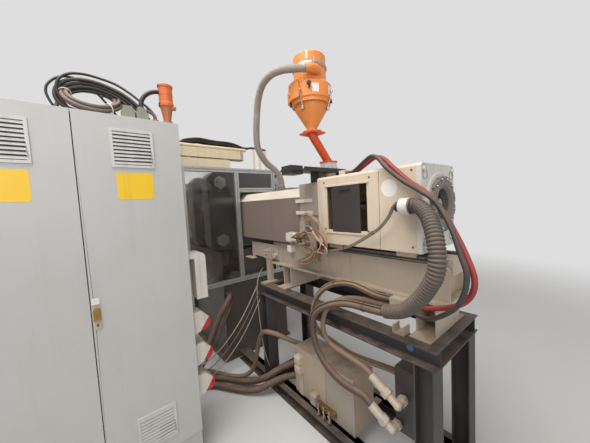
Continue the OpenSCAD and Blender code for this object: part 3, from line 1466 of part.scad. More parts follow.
// Where the hose leaves the inlet's mouth, and its direction there
vac_mouth = [
  throat_x + (inlet_at[0] + inlet_bend) * cos(inlet_a) - (inlet_at[1] - inlet_mouth) * sin(inlet_a),
  loader_dy + (inlet_at[0] + inlet_bend) * sin(inlet_a) + (inlet_at[1] - inlet_mouth) * cos(inlet_a),
  inlet_z
];
vac_out = [sin(inlet_a), -cos(inlet_a), 0];
vacuum_route = [
  vac_mouth, vac_mouth + 40 * vac_out, [1282, -342, 2528], [1218, -374, 2538],
  [1145, -394, 2541], [1070, -400, 2533], [1000, -398, 2508], [938, -388, 2460],
  [885, -374, 2388], [830, -360, 2230], [795, -330, 2110], [763, -240, 2013],
  [735, -137, 1960], [727, -82, 1905], [vac_x, vac_y, 1845],
  [vac_x, vac_y, axis_z + cover_up + 40]
];
floor_route_1 = [
  [420, -1220, 150], [380, -1220, 150], [310, -1212, 118], [190, -1150, 60], [70, -1000, 24],
  [20, -850, 22], [30, -730, 22], [80, -640, 22], [178, -579, 22], [308, -506, 22],
  [400, -430, 28], [455, -365, 60], [503, -330, 150], [550, -320, 300], [606, -318, 440],
  [666, -318, 520], [740, -306, 548], [810, -255, 530], [868, -180, 480], [915, -118, 444],
  [938, -110, 440], [960, -110, 440]
];
floor_route_2 = [
  [420, -1140, 150], [380, -1140, 150], [310, -1115, 105], [240, -1050, 50], [205, -940, 30],
  [200, -840, 30], [204, -760, 30], [235, -660, 30], [325, -560, 30], [440, -485, 32],
  [540, -425, 48], [632, -375, 84], [720, -338, 142], [772, -280, 190], [815, -205, 225],
  [875, -110, 248], [925, -60, 255], [960, -60, 255]
];
floor_route_3 = [
  [420, -1060, 150], [385, -1060, 150], [330, -1035, 105], [290, -960, 50], [272, -870, 30],
  [274, -780, 30], [345, -670, 30], [467, -588, 30], [600, -498, 34], [705, -415, 60],
  [775, -335, 110], [832, -250, 145], [885, -175, 160], [930, -135, 162], [960, -135, 162]
];
riser_route = [
  [60, -360, 740], [104, -360, 740], [158, -405, 704], [185, -520, 570], [205, -620, 400],
  [240, -700, 300], [290, -780, 262], [310, -880, 262], [345, -970, 276], [385, -1010, 280],
  [420, -1010, 280]
];

module main_conduit() { color("#5b5651") tube(conduit_route, 36, 2, 10); }
module lower_hose() { color("#5a4c45") tube(lower_route, 25, 2); }
module upper_hose() { color("#8c7057") tube(upper_route, 16, 2); }
module loop_hoses() { color("#7c675a") tube(loop_route, 20, 2); }
module red_hose() { color("#a8443f") tube(red_route, 12, 2); }
module dark_hose() { color("#4c4945") tube(dark_route, 11, 2); }
module signal_bundle() { color("#8b7d61") tube(signal_route, 10, 2); }
module manifold_loop() { color("#8d765d") tube(manifold_route, 10, 2); }
module vacuum_hose() { color("#a39a8c") tube(vacuum_route, 26, 3); }
module floor_hose_1() { color("#5f4a3e") tube(floor_route_1, 20, 2); }
module floor_hose_2() { color("#6b564a") tube(floor_route_2, 28, 2); }
module floor_hose_3() { color("#6b564a") tube(floor_route_3, 28, 2); }
module riser_hose() { color("#4a3f39") tube(riser_route, 28, 2); }

clamp_bed();
fixed_platen();
moving_platen();
end_platen();
tie_bars();
clamp_ram();
ejector();
mould_fixed_half();
mould_moving_half();
guard_frame();
guard_panes();
guard_door();
guard_ducts();
injection_bed();
guide_rails();
carriage_cylinder();
side_plate();
drive_housing();
end_plate();
motor_flange();
drive_hub();
screw();
window_shutter();
barrel_cover();
barrel();
feed_block();
slide_plate();
hopper_foot();
loader_body();
loader_head();
service_manifold();
conduit_collar();
support_frame();
valve_block();
cabinet_body();
cabinet_door_left();
cabinet_door_right();
door_lock();
power_sockets();
socket_lid_1();
socket_lid_2();
socket_lid_3();
cabinet_top_fittings();
junction_box();
junction_cover();
water_couplings();
main_conduit();
lower_hose();
upper_hose();
loop_hoses();
red_hose();
dark_hose();
signal_bundle();
manifold_loop();
vacuum_hose();
floor_hose_1();
floor_hose_2();
floor_hose_3();
riser_hose();
cable_coil();
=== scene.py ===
# %% [markdown]
# # An injection moulding machine, dressed for its picture
# The CAD model gives the machine its sizes and everything that moves. This lesson puts the
# looks on it: hoses that are ribbed and dusty, paint with soft edges and grime, aluminium
# guard profile, an orange material loader. Each step says what the real thing is, how it
# could be made, and why this way was chosen. All lengths are in metres and all places are
# the CAD model's own, so nothing has to be fitted by eye.

# %% Load the frame
import json
import math

import bmesh
import bpy
from mathutils import Matrix, Vector

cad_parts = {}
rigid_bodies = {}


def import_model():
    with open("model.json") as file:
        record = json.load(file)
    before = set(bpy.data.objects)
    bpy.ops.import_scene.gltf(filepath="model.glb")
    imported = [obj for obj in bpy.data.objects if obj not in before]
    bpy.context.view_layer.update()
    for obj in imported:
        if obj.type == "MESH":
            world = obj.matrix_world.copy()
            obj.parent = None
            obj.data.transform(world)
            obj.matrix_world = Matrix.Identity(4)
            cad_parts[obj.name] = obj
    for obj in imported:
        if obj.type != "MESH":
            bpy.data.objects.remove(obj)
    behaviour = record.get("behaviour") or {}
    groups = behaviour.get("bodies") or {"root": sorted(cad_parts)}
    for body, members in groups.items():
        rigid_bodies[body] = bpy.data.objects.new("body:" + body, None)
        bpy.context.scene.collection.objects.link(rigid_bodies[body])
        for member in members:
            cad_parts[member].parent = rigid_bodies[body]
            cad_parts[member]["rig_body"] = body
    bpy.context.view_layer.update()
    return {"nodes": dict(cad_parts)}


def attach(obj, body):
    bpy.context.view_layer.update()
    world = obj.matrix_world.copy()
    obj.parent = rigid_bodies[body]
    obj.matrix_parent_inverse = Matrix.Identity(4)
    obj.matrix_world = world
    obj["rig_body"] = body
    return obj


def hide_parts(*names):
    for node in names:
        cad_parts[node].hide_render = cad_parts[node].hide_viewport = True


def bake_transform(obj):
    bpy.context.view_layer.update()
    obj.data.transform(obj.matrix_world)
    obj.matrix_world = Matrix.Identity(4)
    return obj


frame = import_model()
scene = bpy.context.scene
scene.view_settings.view_transform = "Standard"


def placed(name, data):
    """New object in the scene that shows a mesh, curve, lamp or camera."""
    thing = bpy.data.objects.new(name, data)
    scene.collection.objects.link(thing)
    return thing


# %% [markdown]
# ## The camera
# The picture was taken from close by with a very wide lens, from the drive end of the
# machine, so near parts look much larger than far ones. A camera could be aimed at a target
# with a constraint, but a measured camera is better set by its three own axes: the direction
# it looks in, then right and up, rolled a little, because the picture leans by three degrees.

# %% Camera from its measured place and angles
CAMERA_PLACE = Vector((2.600, -1.449, 1.652))
YAW, PITCH, ROLL = (math.radians(a) for a in (140.981, 3.9406, -2.945))
SENSOR_WIDTH, PHOTO_WIDTH, FOCAL_PIXELS = 36, 590, 255.459
ahead = Vector((math.cos(PITCH) * math.cos(YAW), math.cos(PITCH) * math.sin(YAW),
                -math.sin(PITCH)))
level_right = ahead.cross(Vector((0, 0, 1))).normalized()
level_up = level_right.cross(ahead)
right = level_right * math.cos(ROLL) + level_up * math.sin(ROLL)
up = level_up * math.cos(ROLL) - level_right * math.sin(ROLL)
camera = placed("camera", bpy.data.cameras.new("camera"))
camera.matrix_world = Matrix((
    (right.x, up.x, -ahead.x, CAMERA_PLACE.x),
    (right.y, up.y, -ahead.y, CAMERA_PLACE.y),
    (right.z, up.z, -ahead.z, CAMERA_PLACE.z),
    (0, 0, 0, 1)))
camera.data.sensor_width = SENSOR_WIDTH
camera.data.lens = SENSOR_WIDTH * FOCAL_PIXELS / PHOTO_WIDTH
camera.data.clip_start, camera.data.clip_end = 0.05, 200
scene.camera = camera
print("camera looks along", [round(c, 3) for c in ahead])

# %% [markdown]
# ## The routes of the hoses
# Each hose is a real length of something flexible between two fittings. The CAD source holds
# the points that it passes, and a smooth curve runs through them. The same points stand here,
# in millimetres, so that the dressed hoses lie exactly where the solids lie.

# %% Route points, the same as in the CAD source
THROAT_X, LOADER_Y = 1250, -155
INLET_TURN, INLET_OUT, INLET_ALONG, INLET_Z = math.radians(318), 155, -25, 2524
inlet_ray = Vector((math.cos(INLET_TURN), math.sin(INLET_TURN), 0))
hose_out = Vector((inlet_ray.y, -inlet_ray.x, 0))
hose_mouth = Vector((THROAT_X, LOADER_Y, INLET_Z)) + inlet_ray * INLET_OUT - hose_out * INLET_ALONG
LOWER_END, UPPER_END = (1745, -258, 462), (1745, -242, 634)
ROUTES = {
    "main_conduit": [
        (2000, -252, 1612), (2036, -252, 1612), (2088, -284, 1580), (2128, -325, 1532),
        (2155, -358, 1474), (2170, -378, 1400), (2162, -380, 1338), (2137, -370, 1287),
        (2100, -355, 1228), (2058, -340, 1180), (2000, -321, 1125), (1940, -305, 1092),
        (1880, -297, 1074)],
    "lower_hose": [
        (1880, -297, 1074), (1850, -293, 1065), (1751, -290, 1056), (1645, -294, 1050),
        (1550, -316, 1031), (1464, -344, 990), (1406, -358, 935), (1386, -362, 875),
        (1384, -358, 795), (1400, -350, 705), (1446, -336, 622), (1510, -320, 565),
        (1580, -306, 530), (1650, -287, 512), (1705, -266, 492), LOWER_END],
    "upper_hose": [
        (1850, -165, 1050), (1815, -165, 1050), (1770, -200, 1062), (1677, -228, 1068),
        (1576, -246, 1050), (1504, -270, 1012), (1454, -304, 948), (1434, -312, 865),
        (1438, -308, 795), (1470, -290, 735), (1540, -268, 700), (1620, -254, 680),
        (1705, -242, 657), UPPER_END],
    "loop_hoses": [
        (1850, -165, 1092), (1815, -165, 1092), (1768, -216, 1114), (1701, -246, 1144),
        (1634, -254, 1157), (1543, -264, 1146), (1450, -278, 1105), (1385, -298, 1038),
        (1352, -312, 960), (1343, -316, 872), (1356, -309, 815), (1392, -276, 758),
        (1430, -225, 705), (1484, -198, 675), (1548, -188, 658), (1664, -168, 652),
        (1769, -152, 656), (1815, -150, 660), (1850, -150, 660)],
    "red_hose": [
        (1480, -45, 1841), (1520, -45, 1841), (1570, -55, 1852), (1660, -85, 1882),
        (1751, -140, 1894), (1830, -185, 1868), (1895, -222, 1818), (1985, -232, 1735),
        (2066, -228, 1672), (2138, -240, 1588), (2200, -262, 1486), (2244, -272, 1392),
        (2266, -270, 1313), (2253, -258, 1244), (2207, -246, 1186), (2123, -232, 1141),
        (2040, -205, 1110), (1976, -172, 1092), (1930, -172, 1092)],
    "dark_hose": [
        (1480, -75, 1841), (1520, -75, 1841), (1570, -88, 1854), (1660, -122, 1888),
        (1741, -170, 1900), (1812, -214, 1872), (1878, -246, 1812), (1975, -262, 1734),
        (2050, -262, 1684), (2126, -266, 1624), (2190, -290, 1520), (2226, -304, 1420),
        (2250, -308, 1345), (2243, -304, 1270), (2215, -296, 1200), (2160, -286, 1140),
        (2090, -262, 1090), (2026, -212, 1062), (1970, -172, 1050), (1930, -172, 1050)],
    "signal_bundle": [
        (1930, -252, 1612), (1914, -252, 1612), (1884, -248, 1560), (1824, -240, 1499),
        (1762, -235, 1460), (1702, -231, 1424), (1640, -229, 1392), (1572, -228, 1364),
        (1461, -228, 1334), (1360, -226, 1318), (1318, -222, 1314), (1290, -222, 1314)],
    "manifold_loop": [
        (1190, -222, 1520), (1190, -222, 1545), (1216, -230, 1572), (1270, -238, 1570),
        (1335, -246, 1540), (1400, -252, 1490), (1440, -256, 1420), (1434, -258, 1340),
        (1390, -252, 1280), (1320, -236, 1250), (1270, -222, 1246), (1240, -222, 1246)],
    "vacuum_hose": [
        tuple(hose_mouth), tuple(hose_mouth + hose_out * 40), (1282, -342, 2528),
        (1218, -374, 2538), (1145, -394, 2541), (1070, -400, 2533), (1000, -398, 2508),
        (938, -388, 2460), (885, -374, 2388), (830, -360, 2230), (795, -330, 2110),
        (763, -240, 2013), (735, -137, 1960), (727, -82, 1905), (725, -62, 1845),
        (725, -62, 1815)],
    "floor_hose_1": [
        (420, -1220, 150), (380, -1220, 150), (310, -1212, 118), (190, -1150, 60),
        (70, -1000, 24), (20, -850, 22), (30, -730, 22), (80, -640, 22), (178, -579, 22),
        (308, -506, 22), (400, -430, 28), (455, -365, 60), (503, -330, 150), (550, -320, 300),
        (606, -318, 440), (666, -318, 520), (740, -306, 548), (810, -255, 530),
        (868, -180, 480), (915, -118, 444), (938, -110, 440), (960, -110, 440)],
    "floor_hose_2": [
        (420, -1140, 150), (380, -1140, 150), (310, -1115, 105), (240, -1050, 50),
        (205, -940, 30), (200, -840, 30), (204, -760, 30), (235, -660, 30), (325, -560, 30),
        (440, -485, 32), (540, -425, 48), (632, -375, 84), (720, -338, 142), (772, -280, 190),
        (815, -205, 225), (875, -110, 248), (925, -60, 255), (960, -60, 255)],
    "floor_hose_3": [
        (420, -1060, 150), (385, -1060, 150), (330, -1035, 105), (290, -960, 50),
        (272, -870, 30), (274, -780, 30), (345, -670, 30), (467, -588, 30), (600, -498, 34),
        (705, -415, 60), (775, -335, 110), (832, -250, 145), (885, -175, 160),
        (930, -135, 162), (960, -135, 162)],
    "riser_hose": [
        (60, -360, 740), (104, -360, 740), (158, -405, 704), (185, -520, 570),
        (205, -620, 400), (240, -700, 300), (290, -780, 262), (310, -880, 262),
        (345, -970, 276), (385, -1010, 280), (420, -1010, 280)],
}
# Thin cables that have no solid of their own in the CAD model
THIN_ROUTES = {
    "braided_cable": [
        (1220, -228, 1486), (1250, -229, 1486), (1290, -240, 1468), (1335, -262, 1438),
        (1380, -274, 1404), (1424, -272, 1376), (1446, -262, 1348), (1432, -248, 1322),
        (1390, -238, 1308), (1340, -230, 1308), (1300, -228, 1312), (1290, -228, 1312)],
    "rust_loop": [
        (1214, -232, 1404), (1216, -252, 1406), (1248, -272, 1436), (1306, -280, 1466),
        (1370, -282, 1470), (1424, -282, 1438), (1450, -281, 1388), (1420, -280, 1350),
        (1360, -278, 1332), (1298, -274, 1332), (1242, -264, 1344), (1217, -250, 1354),
        (1214, -232, 1354)],
    "ochre_loop": [
        (1172, -232, 1404), (1174, -254, 1404), (1212, -282, 1418), (1280, -294, 1446),
        (1350, -296, 1450), (1400, -294, 1424), (1424, -293, 1380), (1396, -292, 1338),
        (1336, -290, 1314), (1262, -286, 1312), (1202, -274, 1332), (1175, -254, 1354),
        (1172, -232, 1354)],
    "roof_tail": [
        (862, -1082, 2197), (861, -1084, 2222), (848, -1108, 2262), (832, -1150, 2304),
        (812, -1204, 2352), (796, -1262, 2388), (792, -1330, 2404), (794, -1400, 2408),
        (800, -1462, 2392), (806, -1504, 2352), (806, -1516, 2300), (802, -1500, 2250),
        (796, -1474, 2212), (790, -1460, 2190), (788, -1458, 2175)],
    "outer_loop": [
        (760, -1250, 2175), (760, -1252, 2200), (764, -1290, 2256), (770, -1352, 2330),
        (776, -1424, 2380), (784, -1494, 2376), (790, -1544, 2330), (792, -1558, 2282),
        (790, -1540, 2226), (784, -1512, 2192), (782, -1504, 2175)],
    "drop_cable_1": [
        (90, -360, 690), (112, -366, 690), (168, -416, 640), (196, -520, 490), (216, -630, 350),
        (250, -728, 262), (296, -820, 232), (344, -910, 238), (396, -972, 262),
        (430, -996, 300), (440, -1004, 316)],
    "drop_cable_2": [
        (120, -360, 650), (146, -368, 648), (204, -430, 590), (232, -540, 430),
        (250, -650, 290), (282, -744, 206), (322, -836, 180), (364, -924, 192),
        (408, -988, 226), (432, -1012, 250), (440, -1018, 262)],
    "post_cable": [
        (640, -262, 1090), (628, -270, 1070), (606, -290, 1010), (596, -304, 930),
        (594, -308, 830), (598, -306, 700), (606, -302, 560), (616, -296, 420),
        (628, -284, 300), (640, -262, 200), (646, -240, 120), (648, -238, 96)],
}
ROOF_LOOPS = 4
for k in range(ROOF_LOOPS):
    THIN_ROUTES[f"roof_loop_{k + 1}"] = [
        (848 - 16 * k, -1112 - 24 * k, 2175), (848 - 16 * k, -1114 - 24 * k, 2198),
        (838 - 13 * k, -1152 - 20 * k, 2256 - 4 * k), (824 - 10 * k, -1214 - 14 * k, 2316 - 8 * k),
        (810 - 8 * k, -1290 - 6 * k, 2356 - 12 * k), (800 - 6 * k, -1380, 2376 - 16 * k),
        (796 - 6 * k, -1462 + 4 * k, 2362 - 18 * k), (796 - 5 * k, -1514 + 8 * k, 2316 - 16 * k),
        (798 - 5 * k, -1524 + 10 * k, 2262 - 10 * k), (800 - 6 * k, -1496 + 10 * k, 2222 - 6 * k),
        (806 - 8 * k, -1446 + 8 * k, 2204 - 3 * k), (812 - 10 * k, -1384 + 8 * k, 2193),
        (816 - 12 * k, -1352 + 10 * k, 2186), (818 - 13 * k, -1336 + 10 * k, 2175)]
SERVICE_HOSES = 5
for k in range(SERVICE_HOSES):
    x, z, spread = (1130, 1172, 1214)[k % 3], (1354, 1404)[k // 3], 9 * k
    out = -298 - 6 * k
    THIN_ROUTES[f"service_hose_{k + 1}"] = [
        (x, -244, z), (x + 1, -262, z), (x + 8, -281, z + 2), (x + 30, out - 4, z + 6),
        (x + 62, out - 11, z + 12 + spread // 4), (x + 98, out - 14, z + 20 + spread // 2),
        (1306 + spread, out - 14, z + 24 + spread),
        (1352 + spread, out - 12, 1404 - spread), (1366 + spread, out - 10, 1356 - spread),
        (1348 + spread, out - 8, 1316 - spread), (1304 + spread, out - 6, 1288 - spread),
        (1262 + spread // 2, out - 2, 1270 - spread), (1226 + 5 * k, out + 10, 1256 - spread // 2),
        (1206 + 8 * k, -264, 1248), (1198 + 9 * k, -242, 1246)]
LOOSE_CABLES = 3
for k in range(LOOSE_CABLES):
    z, x = 930 - 60 * k, 596 + 16 * k
    THIN_ROUTES[f"loose_cable_{k + 1}"] = [
        (x, -304, z), (x - 6, -330, z - 46), (x - 14, -392, z - 150), (x - 20, -470, z - 262),
        (x - 24, -560, z - 362), (x - 24, -650, z - 438), (x - 18, -740, z - 488),
        (x - 8, -826, z - 512), (x + 6, -898, z - 516), (x + 16, -946, z - 512),
        (x + 20, -962, z - 510), (x + 22, -973, z - 510)]
DUCT_CABLES = 6
for k in range(DUCT_CABLES):
    aside, rise = 52 + 17 * k, 20 * (k % 2)
    THIN_ROUTES[f"duct_cable_{k + 1}"] = [
        (aside, -784, 2226), (aside + 2, -770, 2234), (aside + 4, -720, 2262 + rise),
        (aside - 6 + 3 * k, -640, 2284 + rise), (aside + 8 - 2 * k, -560, 2296 + rise),
        (aside - 4, -470, 2290 + rise), (aside + 6, -380, 2284 + rise),
        (aside - 2 + k, -290, 2286 + rise), (aside + 6, -210, 2276 + rise),
        (aside + (148 - aside) * 0.3, -120, 2262 + rise // 2),
        (aside + (148 - aside) * 0.6, -60, 2270), (aside + (148 - aside) * 0.85, -30 + 4 * k, 2276),
        (149, -2 + (k % 3) * 75 * 0.5, 2274), (150, 5 + (k % 3) * 75, 2266),
        (150, 5 + (k % 3) * 75, 2262)]


def smooth_route(points, steps=10):
    """The CAD source's curve through the points, in metres."""
    p = [Vector(point) / 1000 for point in points]
    line = []
    for i in range(len(p) - 1):
        a, b, c, d = p[max(i - 1, 0)], p[i], p[i + 1], p[min(i + 2, len(p) - 1)]
        for k in range(steps):
            t = k / steps
            line.append(0.5 * (2 * b + (c - a) * t + (2 * a - 5 * b + 4 * c - d) * t * t
                               + (3 * b - a - 3 * c + d) * t * t * t))
    return line + [p[-1]]


def route_length(line):
    """Length of a line of points."""
    return sum((b - a).length for a, b in zip(line, line[1:]))


def even_line(line, step):
    """The line again, with points at an even distance."""
    count = max(2, round(route_length(line) / step))
    spacing = route_length(line) / count
    out, left, start = [line[0].copy()], spacing, line[0]
    for target in line[1:]:
        stretch = (target - start).length
        while stretch > left and stretch > 1e-9:
            start = start.lerp(target, left / stretch)
            out.append(start.copy())
            stretch, left = stretch - left, spacing
        left, start = left - stretch, target
    if len(out) <= count:
        out.append(line[-1].copy())
    out[-1] = line[-1].copy()
    return out


# The coil on the cabinet's roof: a ring that leans, its turns laid inside it
COIL_MIDDLE, COIL_RADIUS, COIL_LEAN = Vector((800, -1372, 2284.5)), 114, math.radians(44)
COIL_TAIL = [(718, -1372, 2363.7), (722, -1327, 2365.7), (744, -1267, 2343.7), (780, -1202, 2297.7),
             (818, -1148, 2266), (842, -1114, 2250), (857, -1091, 2232), (862, -1083, 2213),
             (862, -1082, 2197)]
COIL_LEAD = [(752, -1532, 2175), (751, -1531, 2196), (746, -1524, 2240), (738, -1504, 2288),
             (728, -1468, 2336), (720, -1420, 2366)]


def coil_route(turns=4, cable=20):
    """Turns of a cable, each shifted to the next corner of a small square in the ring."""
    across = Vector((math.cos(COIL_LEAN), 0, -math.sin(COIL_LEAN)))
    through = Vector((math.sin(COIL_LEAN), 0, math.cos(COIL_LEAN)))
    side = Vector((0, 1, 0))
    steps, line = 16, []
    for i in range(turns * steps + 1):
        angle = math.pi + 2 * math.pi * (turns - i / steps)
        corner = math.pi / 4 + math.pi / 2 * (i / steps)
        radius = COIL_RADIUS + 0.7 * cable * math.cos(corner)
        line.append(COIL_MIDDLE + (across * math.cos(angle) + side * math.sin(angle)) * radius
                    + through * 0.7 * cable * math.sin(corner))
    return COIL_LEAD + [tuple(point) for point in line] + COIL_TAIL[1:]


ROUTES["cable_coil"] = coil_route()
for name, points in ROUTES.items():
    print(name, round(route_length(smooth_route(points)), 2), "m")

# %% [markdown]
# ## Sweeping a hose
# A hose is a circle swept along its route. Blender's curve object does just that: a poly
# spline with a bevel depth of half the diameter. Each point of the spline has its own radius,
# so a radius that rises and falls every few millimetres makes the ribs of a corrugated
# conduit as real geometry. The curve is then turned into a mesh.

# %% The sweep and its ribs
HOSE_SHARP = math.radians(60)


def swept(name, line, diameter, rib=0.0, pitch=0.012, sides=6):
    """Mesh tube along a line, with ribs of the given depth as a share of the radius."""
    step = pitch / 6 if rib else max(0.004, diameter / 4)
    rings = even_line(line, step)
    data = bpy.data.curves.new(name, "CURVE")
    data.dimensions = "3D"
    data.bevel_depth = diameter / 2
    data.bevel_resolution = sides
    data.use_fill_caps = True
    spline = data.splines.new("POLY")
    spline.points.add(len(rings) - 1)
    for i, (ring, point) in enumerate(zip(rings, spline.points)):
        point.co = (*ring, 1)
        wave = 0.5 - 0.5 * math.cos(2 * math.pi * i / 6)
        point.radius = 1 - rib * wave ** 2
    curve = placed(name + "_curve", data)
    mesh = bpy.data.meshes.new_from_object(curve)
    mesh.name = name
    bpy.data.objects.remove(curve)
    bpy.data.curves.remove(data)
    mesh.shade_smooth()
    mesh.set_sharp_from_angle(angle=HOSE_SHARP)
    return placed(name, mesh), rings


def joined(name, pieces):
    """One object from several, with their faces kept as they are."""
    shell = bmesh.new()
    for k, piece in enumerate(pieces):
        for face in piece.data.polygons:
            face.material_index = k
        shell.from_mesh(piece.data)
    mesh = bpy.data.meshes.new(name)
    shell.to_mesh(mesh)
    shell.free()
    for piece in pieces:
        bpy.data.objects.remove(piece)
    mesh.shade_smooth()
    mesh.set_sharp_from_angle(angle=HOSE_SHARP)
    return placed(name, mesh)


def strands(name, line, places):
    """Several thin cables along a line: places are (across, up, diameter) of each strand."""
    rings = even_line(line, 0.012)
    sides, side = [], Vector((0, 0, 1)).cross(rings[1] - rings[0])
    side = side if side.length > 1e-6 else Vector((0, 1, 0))
    for i in range(len(rings)):
        along = (rings[min(i + 1, len(rings) - 1)] - rings[max(i - 1, 0)]).normalized()
        side = (side - along * side.dot(along)).normalized()
        sides.append((side.copy(), along.cross(side)))
    pieces = []
    for k, (across, rise, strand) in enumerate(places):
        path = []
        for i, (point, (over, beside)) in enumerate(zip(rings, sides)):
            turn = 0.25 * math.sin(i * 0.13)
            a = across * math.cos(turn) - rise * math.sin(turn)
            b = across * math.sin(turn) + rise * math.cos(turn)
            path.append(point + over * a + beside * b)
        pieces.append(swept(f"{name}_{k}", path, strand, sides=3)[0])
    return joined(name, pieces), rings


# %% [markdown]
# ## The hoses themselves
# The thick conduit at the drive end is corrugated plastic tube. The hoses that hang in loops
# are smooth rubber, the thin control wires lie in a bundle, and the suction hose of the
# loader is ribbed like that of a vacuum cleaner. Each of the large ones stands for its CAD
# solid.

# %% Make and attach the hoses
CORD_FACTS = {
    # node: diameter, rib depth, rib pitch, body, stiffness, lay, material slot
    "main_conduit": (0.072, 0.17, 0.016, None, "stiff", "hanging", "hose_grey"),
    "upper_hose": (0.032, 0.0, 0, "machine", "stiff", "hanging", "hose_tan"),
    "red_hose": (0.024, 0.0, 0, None, "medium", "hanging", "hose_red"),
    "dark_hose": (0.022, 0.0, 0, None, "medium", "hanging", "hose_brown"),
    "vacuum_hose": (0.052, 0.09, 0.0075, None, "stiff", "hanging", "hose_grey"),
    "floor_hose_1": (0.040, 0.0, 0, "machine", "stiff", "loose", "hose_brown"),
    "floor_hose_2": (0.056, 0.08, 0.012, "machine", "stiff", "loose", "hose_brown"),
    "floor_hose_3": (0.056, 0.08, 0.012, "machine", "stiff", "loose", "hose_brown"),
    "riser_hose": (0.056, 0.08, 0.012, "machine", "stiff", "loose", "hose_brown"),
    "cable_coil": (0.020, 0.0, 0, "machine", "medium", "coiled", "hose_brown"),
}
BUNDLES = {
    # node: whole diameter, strands as (across, up, diameter), body, slot
    "loop_hoses": (0.040, [(-0.0100, 0.0, 0.0192), (0.0100, 0.0, 0.0192),
                           (0.0, 0.0147, 0.009), (0.001, -0.0147, 0.009)],
                   "machine", "hose_tan"),
    "lower_hose": (0.050, [(0.0, -0.006, 0.037), (0.002, 0.0185, 0.0115)], "machine",
                   "hose_brown"),
    "signal_bundle": (0.020, [(0.0, -0.0025, 0.0125), (0.001, 0.0065, 0.0045),
                              (-0.006, 0.0055, 0.0040)], "carriage", "hose_tan"),
    "manifold_loop": (0.020, [(-0.0050, 0.001, 0.0095), (0.0050, 0.001, 0.0085),
                              (0.0, -0.0065, 0.0065)], "carriage", "hose_tan"),
}
THIN_CABLES = {
    # name: diameter, body, stiffness, slot
    "braided_cable": (0.010, "carriage", "medium", "hose_grey"),
    "rust_loop": (0.009, "carriage", "medium", "hose_tan"),
    "ochre_loop": (0.009, "carriage", "medium", "hose_tan"),
    "roof_tail": (0.014, "machine", "medium", "hose_brown"),
    "outer_loop": (0.012, "machine", "medium", "hose_brown"),
    "drop_cable_1": (0.024, "machine", "stiff", "hose_brown"),
    "drop_cable_2": (0.018, "machine", "medium", "hose_brown"),
    "post_cable": (0.009, "machine", "medium", "hose_grey"),
}
for k in range(LOOSE_CABLES):
    THIN_CABLES[f"loose_cable_{k + 1}"] = (0.009 - 0.001 * k, "machine", "medium", "hose_grey")
for k in range(ROOF_LOOPS):
    THIN_CABLES[f"roof_loop_{k + 1}"] = (0.016 if k % 2 else 0.020, "machine", "medium",
                                         "hose_brown")
for k in range(SERVICE_HOSES):
    THIN_CABLES[f"service_hose_{k + 1}"] = (0.008 if k % 2 else 0.0095, "carriage", "medium",
                                            "hose_tan")
for k in range(DUCT_CABLES):
    THIN_CABLES[f"duct_cable_{k + 1}"] = (0.018 if k % 2 else 0.022, "machine", "stiff",
                                          "hose_brown")
hoses = {}
for node, (diameter, rib, pitch, body, stiffness, lay, slot) in CORD_FACTS.items():
    hose, rings = swept(node + "_dressed", smooth_route(ROUTES[node]), diameter, rib, pitch)
    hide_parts(node)
    if body:
        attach(hose, body)
    else:
        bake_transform(hose)
    hoses[node] = hose
for node, (diameter, places, body, slot) in BUNDLES.items():
    hose, rings = strands(node + "_dressed", smooth_route(ROUTES[node]), places)
    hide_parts(node)
    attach(hose, body)
    hoses[node] = hose
for name, (diameter, body, stiffness, slot) in THIN_CABLES.items():
    cable, rings = swept(name, smooth_route(THIN_ROUTES[name]), diameter, sides=4)
    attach(cable, body)
    hoses[name] = cable
    print(name, round(route_length(rings), 2), "m")
print("hoses made:", len(hoses), "triangles",
      sum(len(h.data.polygons) * 2 for h in hoses.values()))

# %% [markdown]
# ## Finishes as shader groups
# The machine has worked for years in dust and oil. Its paint is a little uneven, darker where
# hands and oil reach, pale brown where dust settles on level faces, and rubbed to bare metal
# on a few edges. That mix of effects is the same for every paint, so it is built once as a
# node group with named inputs. Object coordinates drive all patterns, so their scale is the
# real one and nothing slides when a part moves.

# %% A small helper that lays nodes
class Bench:
    """Puts nodes on a tree, sets or wires their inputs, and hands back what they give."""

    def __init__(self, tree):
        self.tree = tree

    def put(self, kind, inputs=None, **settings):
        node = self.tree.nodes.new(kind)
        for key, value in settings.items():
            setattr(node, key, value)
        for key, value in (inputs or {}).items():
            if isinstance(value, bpy.types.NodeSocket):
                self.tree.links.new(value, node.inputs[key])
            else:
                node.inputs[key].default_value = value
        return node

    def math(self, operation, a, b=0.0, c=0.0, clamp=False):
        return self.put("ShaderNodeMath", {0: a, 1: b, 2: c}, operation=operation,
                        use_clamp=clamp).outputs[0]

    def noise(self, vector, scale, detail=2.0, roughness=0.55, distortion=0.0):
        return self.put("ShaderNodeTexNoise", {
            "Vector": vector, "Scale": scale, "Detail": detail, "Roughness": roughness,
            "Distortion": distortion}).outputs[0]

    def fade(self, value, start, end, low_value=0.0, high_value=1.0):
        return self.put("ShaderNodeMapRange", {
            0: value, 1: start, 2: end, 3: low_value, 4: high_value},
            interpolation_type="SMOOTHSTEP").outputs[0]

    def blend(self, share, a, b, mode="MIX"):
        return self.put("ShaderNodeMix", {0: share, 6: a, 7: b}, data_type="RGBA",
                        blend_type=mode, clamp_factor=True).outputs[2]

    def stretched(self, vector, scale, turn=(0, 0, 0)):
        return self.put("ShaderNodeMapping", {"Vector": vector, "Scale": scale,
                                              "Rotation": turn}).outputs[0]


